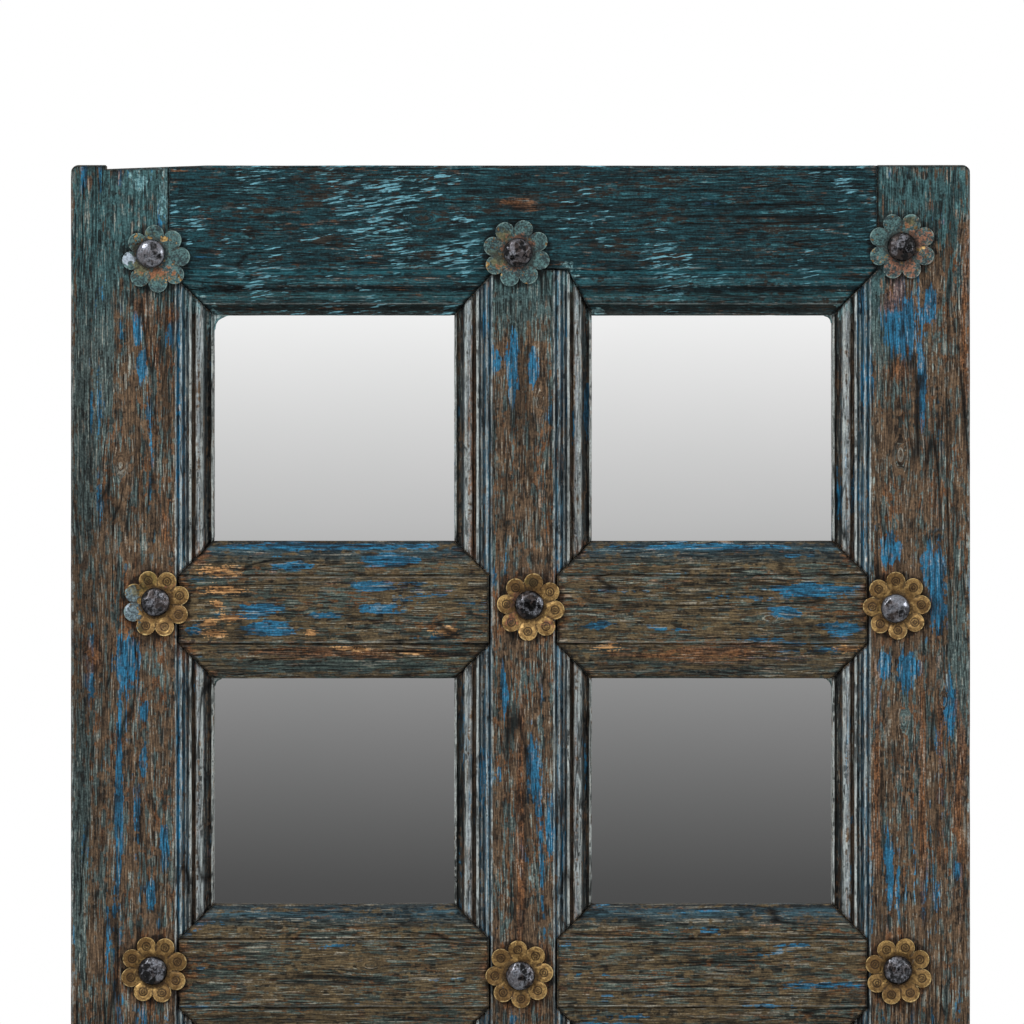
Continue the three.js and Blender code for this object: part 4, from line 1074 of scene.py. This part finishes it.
def nail_mesh(rosette, seed):
    node = "nail_" + rosette
    x, z = middle_of(node)
    angle = full_turn(NAIL_SIDES)
    square = np.abs(np.cos(angle)) ** SQUARENESS + np.abs(np.sin(angle)) ** SQUARENESS
    square = square ** (-1 / SQUARENESS)
    lap = np.linspace(0, math.pi / 2, DOME_ROWS + 1)[:-1]
    radii = [square * TIP_HALF, square * SHANK_HALF]
    heights = [-NAIL_LENGTH, 0.0]
    for share, height in UNDERSIDE:
        radii.append(np.full(NAIL_SIDES, HEAD_RADIUS * share))
        heights.append(HEAD_HEIGHT * height)
    radii = np.array(radii + [np.full(NAIL_SIDES, HEAD_RADIUS * math.cos(t)) for t in lap])
    across, along = radii * np.cos(angle), radii * np.sin(angle)
    facets, cut = HAMMERED.get(rosette, HAMMERED[""])
    domed = dome(np.hypot(across, along))
    levels = [domed]
    for facet in range(facets):
        away = HEAD_RADIUS * FACETS_WITHIN * math.sqrt((facet + 0.5) / facets)
        bearing = FACET_TURN * facet + 2 * hashed(facet, 1, seed)
        middle_x, middle_z = away * math.cos(bearing), away * math.sin(bearing)
        fall = (dome(away + SLOPE_SPAN) - dome(away - SLOPE_SPAN)) / (2 * SLOPE_SPAN)
        slope_x = fall * middle_x / away + FACET_TILT * (hashed(facet, 2, seed) - 0.5)
        slope_z = fall * middle_z / away + FACET_TILT * (hashed(facet, 3, seed) - 0.5)
        depth = cut * (CUTS_LEAST + CUTS_VARY * hashed(facet, 4, seed))
        levels.append(dome(away) - depth + slope_x * (across - middle_x) + slope_z * (along - middle_z))
    levels = np.array(levels)
    least = levels.min(axis=0)
    weight = np.exp(-RIDGE_SHARPNESS * (levels - least))
    worked = least - np.log(weight.sum(axis=0)) / RIDGE_SHARPNESS
    weight /= weight.sum(axis=0)
    tones = np.array([hashed(facet, 5, seed) for facet in range(facets + 1)])
    tone = (weight * tones[:, None, None]).sum(axis=0)
    height = np.array(heights + [0.0] * DOME_ROWS)[:, None] * np.ones(NAIL_SIDES)
    height[-DOME_ROWS:] = worked[-DOME_ROWS:]
    height[-DOME_ROWS:] += uneven(PITS, across, along, seed + 6)[-DOME_ROWS:]
    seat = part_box("flower_" + rosette)[1].y / MM - NAIL_STANDS_OFF
    points = np.stack([x + across, seat - height, z + along], axis=-1)
    fields = {
        "tone": tone, "ridge": 1 - weight.max(axis=0), "away": np.hypot(across, along) / HEAD_RADIUS,
    }
    return closed_mesh(node + "_forging", points, tube_of(*height.shape), fields)


def iron_finish(name):
    """Forged iron: dark scale, brightened by rubbing, with fine scratches and painted glints on some facets.
    """
    material, start = new_material(name)
    spot, mapped = start.spot(), start.mapped
    speck, grit, cloud = spot.clouds(1100, 1), spot.clouds(480, 2, 0.6), spot.clouds(170, 2)
    scratches = spot.stretched(1500, 300, 340).clouds(1.0, 1)
    bright = mapped("tone") + grit.swing(0.6) + scratches.swing(0.3)
    colour = bright.step(0.2, 1.0).blend(srgb(22, 22, 23), srgb(78, 78, 82))
    # Painted glints: some facets are made bright, as if they reflected a bright window.
    painted_glint = (mapped("tone") + grit.swing(0.25) + scratches.swing(0.1)).step(0.66, 0.84)
    colour = (painted_glint * 0.5).blend(colour, srgb(146, 150, 160))
    ridge = (mapped("ridge") * 2 + grit.swing(0.8)).step(0.5, 1.1)
    colour = (ridge * 0.4).blend(colour, srgb(150, 152, 160))
    brown = (cloud + grit.swing(0.6)).step(0.6, 0.8) * 0.4
    colour = brown.blend(colour, srgb(64, 48, 42))
    edge = (mapped("away") + grit.swing(0.16)).step(0.8, 0.97)
    colour = (edge * 0.6).blend(colour, srgb(40, 38, 38))
    give_surface(start, 0.22, 0.2 * MM, speck * 0.4 + grit * 0.6 + scratches * 0.3, {
        "Base Color": colour.scaled(0.75 + speck * 0.5), "Metallic": 0.85 - brown * 0.6,
        "Roughness": 0.13 + grit * 0.13 + brown * 0.3})
    return material


iron = iron_finish("forged_iron")
for rosette, seed in FLOWER_SEEDS.items():
    node = "nail_" + rosette
    forging = nail_mesh(rosette, seed)
    coat(forging, iron)
    fit("forged_" + node, forging, node)


# ---- Paint in the corners ----
# Old paint has run together and rounded some corners of the openings. Each lump is a web from the
# moulding's lip down to the glass, of the stiles' paint, thick in the corner and hollow in front.
LUMPS = [
    # opening, side of it, its radius, and how far round its paint is pale turquoise
    ("top_left", -1, 8.5, 0.7),
    ("top_right", 1, 4.5, 0.25),
    ("middle_left", -1, 4.5, -0.2),
    ("middle_right", 1, 4.5, -0.2),
]
REBATE = 7.4
LUMP_BACK = 14.2
LUMP_FRONT = 24.6
LUMP_SEED = 301
LUMP_ARC = 18
LUMP_ROWS = 9
LUMP_SINKS = 1.2
LUMP_BUMPS, BUMP_WIDTH, BUMP_LENGTH = 0.5, 1.6, 1.8
LUMP_FRAYS = [(0.3, 1.4)]
LUMP_THINS = 0.45
THIN_FROM = 0.55
LUMP_CREST = 0.5
LUMP_RUST = 0.3
CREST_FROM = 0.7
# What the stiles' finish takes from a lump's points, where it is the same all over the lump.
LUMP_LOOKS = {
    "height": 0.1, "crack": 0.0, "joint": 0.0, "sooty": 0.0, "face": 0.0, "from_edge": 40.0,
    "banded": 0.0, "upper": 0.5, "film": 0.5, "blue": -1.0, "raw": -1.0, "bare": 0.0,
}


def lump_mesh(name, corner_x, corner_z, side, radius, crust, seed):
    """A web in an opening's upper corner. Its free side is an arc, and it thins towards the front."""
    turns = np.linspace(0, math.pi / 2, LUMP_ARC)
    arc_x = radius - radius * np.sin(turns)
    arc_z = radius - radius * np.cos(turns)
    wall_x = np.concatenate([arc_x, [-LUMP_SINKS], [-LUMP_SINKS], [radius]])
    wall_z = np.concatenate([arc_z, [radius], [-LUMP_SINKS], [-LUMP_SINKS]])
    wall_x, wall_z, share = np.broadcast_arrays(wall_x, wall_z, np.linspace(0, 1, LUMP_ROWS)[:, None])
    y = LUMP_BACK + (LUMP_FRONT - LUMP_BACK) * share
    shrink = 1 - LUMP_THINS * smooth(share, THIN_FROM, 1.0) ** 2
    bumps = LUMP_BUMPS * noise(wall_x / BUMP_WIDTH + seed, y / BUMP_LENGTH, seed)
    bumps = bumps * (wall_x > 0) * (wall_z > 0)
    in_x = np.where(wall_x > 0, wall_x * shrink + bumps, wall_x)
    in_z = np.where(wall_z > 0, wall_z * shrink + bumps, wall_z)
    points = np.stack([corner_x - side * in_x, -y, corner_z - in_z], axis=-1)
    ragged = uneven(LUMP_FRAYS, in_x, y, seed + 1)
    fields = {field: np.full(share.shape, value) for field, value in LUMP_LOOKS.items()}
    # The lump's front lip gets the stiles' painted highlight through this crest value.
    fields["crest"] = LUMP_CREST * smooth(share, CREST_FROM, 1.0)
    fields["rust"] = ragged - LUMP_RUST
    fields["turquoise"] = ragged + crust
    mesh = closed_mesh(name, points, tube_of(*share.shape), fields)
    lay_grain(mesh, in_x, y + in_z, seed)
    return mesh


for seed, (opening, side, radius, crust) in enumerate(LUMPS, LUMP_SEED):
    name = "paint_lump_" + opening
    low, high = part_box("mirror_" + opening)
    edge_x = (high.x if side > 0 else low.x) / MM - side * REBATE
    mesh = lump_mesh(name, edge_x, high.z / MM - REBATE, side, radius, crust, seed)
    coat(mesh, wood_finishes["stile_paint"])
    lump = bpy.data.objects.new(name, mesh)
    scene.collection.objects.link(lump)
    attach(lump, BODY_OF_LEAF)


# ---- Panes ----
# Six panes of 4 mm float glass, silvered and painted on the back, with ground arrises. Each lies in the
# pocket behind its opening, and the arrises and the back paint only show where the leaf is open.
ARRIS = 1.1
ARRIS_POINTS = 4
PANE_CORNER = 1.6


def corners_round(points):
    """The bearings round a rectangle's rounded corners, and which side of it both ways each is on."""
    lap = np.linspace(0, math.pi / 2, points)
    turns = np.concatenate([lap + quarter * math.pi / 2 for quarter in range(4)])
    return turns, np.repeat([(1, 1), (-1, 1), (-1, -1), (1, -1)], points, axis=0)


def rounded_sheet(name, low, high, corner, arris):
    """A flat sheet with bevelled edges, sized in millimetres. front and back are 1 on those faces."""
    middle, half = (low + high) / 2, (high - low) / 2
    turns, signs = corners_round(ARRIS_POINTS)
    rings = []
    for y, inset in ((low[1], arris), (low[1] + arris, 0), (high[1] - arris / 2, 0), (high[1], arris / 2)):
        reach = signs * (half[[0, 2]] - inset - corner)
        rings.append(np.stack([
            middle[0] + reach[:, 0] + corner * np.cos(turns), np.full(len(turns), y),
            middle[2] + reach[:, 1] + corner * np.sin(turns)], axis=-1))
    points = np.array(rings)
    front = np.repeat([1.0, 0.0, 0.0, 0.0], len(turns))
    back = np.repeat([0.0, 0.0, 0.0, 1.0], len(turns))
    return closed_mesh(name, points, tube_of(*points.shape[:2]), {"front": front, "back": back})


material, start = new_material("mirror_glass")
spot = start.spot()
front, back = start.mapped("front").step(0.9, 1.0), start.mapped("back").step(0.5, 0.9)
haze, dust = spot.clouds(9, 3), spot.clouds(420, 2)
silver = haze.blend((0.915, 0.92, 0.918, 1.0), (0.93, 0.93, 0.93, 1.0))
ground = dust.blend(srgb(96, 124, 112), srgb(150, 176, 164))
colour = front.blend(ground, silver)
colour = back.blend(colour, (dust * 0.6 + haze * 0.4).blend(srgb(70, 74, 76), srgb(98, 102, 104)))
surface = start.node("BsdfPrincipled", {}, {
    "Base Color": colour, "Metallic": front, "Roughness": (1 - front) * (0.45 + dust * 0.2)})
start.node("OutputMaterial", {}, {"Surface": surface})
ROWS_OF_PANES = ("top", "middle", "bottom")
SIDES = ("left", "right")
OPENINGS = [row + "_" + side for row in ROWS_OF_PANES for side in SIDES]
for opening in OPENINGS:
    node = "mirror_" + opening
    low, high = (np.array(corner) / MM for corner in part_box(node))
    pane = rounded_sheet(node + "_sheet", low, high, PANE_CORNER, ARRIS)
    pane.materials.append(material)
    fit("silvered_" + node, pane, node)


# ---- Packing sheets ----
# Six sheets of grey-brown card, laid behind the panes to press them forward. Only their edges would
# show. The card is pressed from fibres, so it is flecked, and its edges are layered.
material, start = new_material("packing_card")
spot = start.spot()
flecks, felt = spot.stretched(900, 1800, 700).clouds(1.0, 2), spot.clouds(60, 3)
layers = spot.stretched(120, 2600, 120).clouds(1.0, 1)
colour = (flecks * 0.5 + felt * 0.3 + layers * 0.2).blend(srgb(112, 90, 64), srgb(172, 146, 112))
give_surface(start, 0.4, 0.3 * MM, flecks * 0.6 + layers * 0.4, {
    "Base Color": colour, "Roughness": 0.85 + flecks * 0.12})
for opening in OPENINGS:
    frame["nodes"]["packing_" + opening].material_slots[0].material = material


# ---- Back board ----
# One sheet of 4 mm plywood over the whole back, with rounded corners. Its face veneer has long grain
# with broad rotary figure and a few pores, and its edges show three plies, the middle one across.
PLY_HALF = 1.1
PLY_SOFT = 0.2
PLY_MIDDLE = -2.0
material, start = new_material("back_ply")
spot = start.spot()
broad = spot.stretched(5, 5, 1.1).clouds(1.0, 3)
figure = ((spot.part(0) * 160 + broad * 9.0).sine() * 0.5 + 0.5).step(0.2, 1.0)
pores = spot.stretched(700, 700, 26).clouds(1.0, 2)
smudge = spot.clouds(7, 3)
veneer = (figure * 0.5 + pores * 0.3 + smudge * 0.2).blend(srgb(160, 126, 84), srgb(204, 172, 126))
veneer = ((1 - pores).step(0.75, 1.0) * 0.5).blend(veneer, srgb(120, 86, 54))
within = (spot.part(1) - PLY_MIDDLE * MM).size()
middle_ply = 1 - within.step((PLY_HALF - PLY_SOFT) * MM, PLY_HALF * MM)
end_grain = spot.stretched(1100, 1100, 1100).clouds(1.0, 1)
colour = (middle_ply * 0.9).blend(veneer, end_grain.blend(srgb(106, 76, 48), srgb(150, 114, 74)))
give_surface(start, 0.35, 0.2 * MM, pores * 0.8 + figure * 0.2, {
    "Base Color": colour, "Roughness": 0.62 + smudge * 0.15 + pores * 0.1})
frame["nodes"]["back_board"].material_slots[0].material = material


# ---- Strap hangers ----
# Two strips of zinc-plated steel with a round lower end. The upper end is curled round the bar of the
# ring, and the lower has two holes for the screws that hold it to the back.
STRAP_HALF = 6.0
STRAP_END = -46.0
STRAP_Y = 1.05
STRAP_THICK = 1.5
STRAP_ROUND = 0.4
PIVOT_Y = 3.6
CURL_RADIUS = 2.55
CURL_ENDS = math.radians(-70)
END_STEPS = 12
FLAT_STEPS = 20
CURL_STEPS = 32
EDGE_POINTS = 4
STRAP_HOLE = 2.2
DRILL_SIDES = 32
DRILL_LENGTH = 8.0
TIP_TURN = math.radians(14)
HANGER_X = {"left": -226.0, "right": 226.0}
SCREW_HEIGHTS = {"upper": -26.0, "lower": -38.0}


def strap_mesh(side):
    """A hanger's strip: rounded-off sections set along its length and then round its curl."""
    turns = np.linspace(TIP_TURN, math.pi / 2, END_STEPS)
    up = np.concatenate([
        STRAP_END + STRAP_HALF * (1 - np.cos(turns)),
        np.linspace(STRAP_END + STRAP_HALF, 0, FLAT_STEPS)[1:]])
    widths = np.concatenate([STRAP_HALF * np.sin(turns), np.full(FLAT_STEPS - 1, STRAP_HALF)])
    curl = np.linspace(math.pi, CURL_ENDS, CURL_STEPS)[1:]
    path_y = np.concatenate([np.full(len(up), STRAP_Y), PIVOT_Y + CURL_RADIUS * np.cos(curl)])
    path_z = np.concatenate([up, CURL_RADIUS * np.sin(curl)])
    out_y = np.concatenate([np.full(len(up), -1.0), np.cos(curl)])
    out_z = np.concatenate([np.zeros(len(up)), np.sin(curl)])
    widths = np.concatenate([widths, np.full(len(curl), STRAP_HALF)])
    turns, sides = corners_round(EDGE_POINTS)
    side_x, side_n = sides.T
    across = side_x * (widths[:, None] - STRAP_ROUND) + STRAP_ROUND * np.cos(turns)
    through = side_n * (STRAP_THICK / 2 - STRAP_ROUND) + STRAP_ROUND * np.sin(turns)
    through = np.broadcast_to(through, across.shape)
    points = np.stack([
        HANGER_X[side] + across, path_y[:, None] + through * out_y[:, None],
        path_z[:, None] + through * out_z[:, None]], axis=-1)
    worn = np.broadcast_to(np.abs(np.sin(2 * turns)), across.shape)
    fields = {"worn": worn, "deep": np.zeros(across.shape)}
    strip = closed_mesh("hanger_strip_" + side, points, tube_of(*across.shape), fields)
    for height in SCREW_HEIGHTS.values():
        drill = bmesh.new()
        bmesh.ops.create_cone(
            drill, cap_ends=True, segments=DRILL_SIDES, depth=DRILL_LENGTH * MM,
            radius1=STRAP_HOLE * MM, radius2=STRAP_HOLE * MM)
        drill.transform(
            Matrix.Translation((HANGER_X[side] * MM, STRAP_Y * MM, height * MM))
            @ Matrix.Rotation(math.pi / 2, 4, "X"))
        bit = bpy.data.meshes.new("drill")
        drill.to_mesh(bit)
        drill.free()
        strip = cut_to(strip, bit, "DIFFERENCE")
    return strip


def zinc_finish(name):
    """Zinc plate: a mottled blue-grey, with fine scratches, bright worn edges and yellowed hollows."""
    material, start = new_material(name)
    spot, worn, deep = start.spot(), start.mapped("worn"), start.mapped("deep")
    spangle, grit = spot.clouds(320, 2), spot.clouds(1300, 1)
    scratches = spot.stretched(1900, 1900, 240).clouds(1.0, 1)
    plate = spangle * 0.6 + scratches * 0.25 + grit * 0.15
    colour = plate.blend(srgb(134, 138, 144), srgb(190, 193, 196))
    colour = (spot.clouds(70, 2).step(0.55, 0.8) * 0.35).blend(colour, srgb(178, 168, 132))
    colour = ((worn + grit.swing(0.4)).step(0.5, 1.0) * 0.5).blend(colour, srgb(216, 218, 222))
    colour = (deep.step(0.1, 0.9) * 0.7).blend(colour, srgb(66, 64, 60))
    give_surface(start, 0.2, 0.1 * MM, scratches * 0.6 + spangle * 0.3 + grit * 0.3, {
        "Base Color": colour, "Metallic": 0.95 - deep * 0.4,
        "Roughness": 0.28 + spangle * 0.12 + grit * 0.1 + deep * 0.25})
    return material


zinc = zinc_finish("zinc_steel")
for side in SIDES:
    node = "hanger_strap_" + side
    strip = strap_mesh(side)
    coat(strip, zinc)
    fit("curled_" + node, strip, node)


# ---- Hanging rings ----
# Two rings of 3 mm zinc-plated wire, bent to a D and butt-welded in the middle of the bar, which
# leaves a low bead. The bar turns in the strap's curl, and the bow hangs from a hook.
WIRE_RADIUS = 1.5
BAR_HALF = 11.0
LEG_LENGTH = 6.0
BOW_RADIUS = 11.0
BEND_RADIUS = 2.6
WIRE_SIDES = 20
WELD_BEAD = 0.12
WELD_HALF = 1.2
BAR_POINTS = 18
BEND_POINTS = 8
BOW_POINTS = 44
# How far below its bar a ring's bow is worn by a hook.
HOOK_WEAR = (14, 17)


def arc(middle_x, middle_z, radius, start_at, end_at, count):
    turns = np.radians(np.linspace(start_at, end_at, count))
    return np.stack([middle_x + radius * np.cos(turns), middle_z + radius * np.sin(turns)], axis=-1)


def ring_mesh(side):
    corner = BAR_HALF - BEND_RADIUS
    path = np.concatenate([
        np.stack([np.linspace(-corner, corner, BAR_POINTS), np.zeros(BAR_POINTS)], axis=-1),
        arc(corner, -BEND_RADIUS, BEND_RADIUS, 90, 0, BEND_POINTS)[1:],
        arc(0, -LEG_LENGTH, BOW_RADIUS, 0, -180, BOW_POINTS),
        arc(-corner, -BEND_RADIUS, BEND_RADIUS, 180, 90, BEND_POINTS)[:-1],
    ])
    along = np.roll(path, -1, axis=0) - np.roll(path, 1, axis=0)
    along /= np.linalg.norm(along, axis=1, keepdims=True)
    out = np.stack([-along[:, 1], along[:, 0]], axis=-1)
    bead = np.exp(-(path[:, 0] / WELD_HALF) ** 2) * (path[:, 1] > -WIRE_RADIUS)
    radius = (WIRE_RADIUS + WELD_BEAD * bead)[:, None]
    turns = full_turn(WIRE_SIDES)
    points = np.stack([
        HANGER_X[side] + path[:, :1] + radius * np.cos(turns) * out[:, :1],
        PIVOT_Y + radius * np.sin(turns),
        path[:, 1:] + radius * np.cos(turns) * out[:, 1:]], axis=-1)
    worn = smooth(-path[:, 1:], *HOOK_WEAR) * (np.cos(turns) < 0)
    fields = {"worn": worn, "deep": np.broadcast_to(bead[:, None] * 0.4, worn.shape)}
    return closed_mesh("hanging_wire_" + side, points, quads_of(*worn.shape, rows_meet=True), fields)


for side in SIDES:
    node = "hanger_ring_" + side
    wire = ring_mesh(side)
    coat(wire, zinc)
    fit("welded_" + node, wire, node, side + "_ring")


# ---- Screws ----
# Ten zinc-plated wood screws: four through the straps and six that hold the back board. Each has a
# round head with a cross recess, and a thread that runs down to its point.
SCREW_HEAD = 3.8
SCREW_HEAD_HEIGHT = 2.2
HEAD_EDGE = 0.35
SHANK_RADIUS = 1.8
CORE_RADIUS = 1.25
SHANK_LENGTH = 20.0
POINT_LENGTH = 4.0
THREAD_PITCH = 1.4
ROWS_TO_A_TURN = 7
SCREW_SIDES = 56
HEAD_ROWS = 22
ARM_HALF = 0.55
ARM_REACH = 2.0
RECESS_DEPTH = 1.25
RECESS_RISE = 0.4
RECESS_SOFT = 0.12
ARM_TAPER = 0.3
RIM_LEVEL = 0.6
THREAD_HALF = 0.28
THREAD_STARTS = (1.0, 3.0)
TIP_SHARE = 0.04


def screw_mesh(node, x, z, seat, turned):
    angle = full_turn(SCREW_SIDES)
    count = int(SHANK_LENGTH / THREAD_PITCH * ROWS_TO_A_TURN)
    down = np.linspace(-SHANK_LENGTH, 0, count)[:, None]
    phase = (down / THREAD_PITCH - angle / (2 * math.pi)) % 1
    flight = np.clip(1 - np.abs(phase - 0.5) / THREAD_HALF, 0, 1) * smooth(-down, *THREAD_STARTS)
    taper = np.clip((down + SHANK_LENGTH) / POINT_LENGTH, TIP_SHARE, 1)
    shank = (CORE_RADIUS + (SHANK_RADIUS - CORE_RADIUS) * flight) * taper
    lap = np.linspace(0, 1, HEAD_ROWS + 1)[:-1]
    head = np.broadcast_to(SCREW_HEAD * (1 - lap)[:, None], (HEAD_ROWS, SCREW_SIDES))
    rim = np.full((2, SCREW_SIDES), SCREW_HEAD)
    radius = np.vstack([shank, rim, head])
    across, along = radius * np.cos(angle), radius * np.sin(angle)
    lift = HEAD_EDGE + (1 - HEAD_EDGE) * np.sqrt(np.clip(1 - (head / SCREW_HEAD) ** 2, 0, 1))
    to_arm = np.minimum(np.abs(across[-HEAD_ROWS:]), np.abs(along[-HEAD_ROWS:]))
    recess = smooth(-to_arm, -ARM_HALF - RECESS_SOFT, -ARM_HALF + RECESS_SOFT)
    recess = recess * smooth(-head, -ARM_REACH - ARM_TAPER, -ARM_REACH)
    lift = SCREW_HEAD_HEIGHT * lift - recess * (RECESS_DEPTH - RECESS_RISE * head / ARM_REACH)
    height = np.vstack([
        down + np.zeros(SCREW_SIDES), np.zeros((1, SCREW_SIDES)),
        np.full((1, SCREW_SIDES), SCREW_HEAD_HEIGHT * HEAD_EDGE * RIM_LEVEL), lift])
    points = np.stack([
        x + across * math.cos(turned) - along * math.sin(turned), seat + height,
        z + across * math.sin(turned) + along * math.cos(turned)], axis=-1)
    deep = np.vstack([np.full((count + 2, SCREW_SIDES), 0.15), recess])
    worn = np.vstack([flight * 0.8, np.zeros((2, SCREW_SIDES)), 4 * recess * (1 - recess)])
    return closed_mesh(node + "_turning", points, tube_of(*radius.shape), {"deep": deep, "worn": worn})


TURNED_ON = 1.1
STRAP_SEAT = 2.1
BOARD_SEAT = 0.3
BOARD_SCREW_X = {"left": -232.0, "right": 232.0}
BOARD_SCREW_HEIGHTS = {"top": 112.0, "middle": -227.0, "bottom": -566.0}
SCREWS = [
    (f"strap_screw_{side}_{place}", HANGER_X[side], height, STRAP_SEAT)
    for side in SIDES for place, height in SCREW_HEIGHTS.items()
] + [
    (f"board_screw_{side}_{place}", BOARD_SCREW_X[side], height, BOARD_SEAT)
    for side in SIDES for place, height in BOARD_SCREW_HEIGHTS.items()
]
for turn, (node, x, z, seat) in enumerate(SCREWS):
    turning = screw_mesh(node, x, z, seat, TURNED_ON * turn)
    coat(turning, zinc)
    fit("threaded_" + node, turning, node)
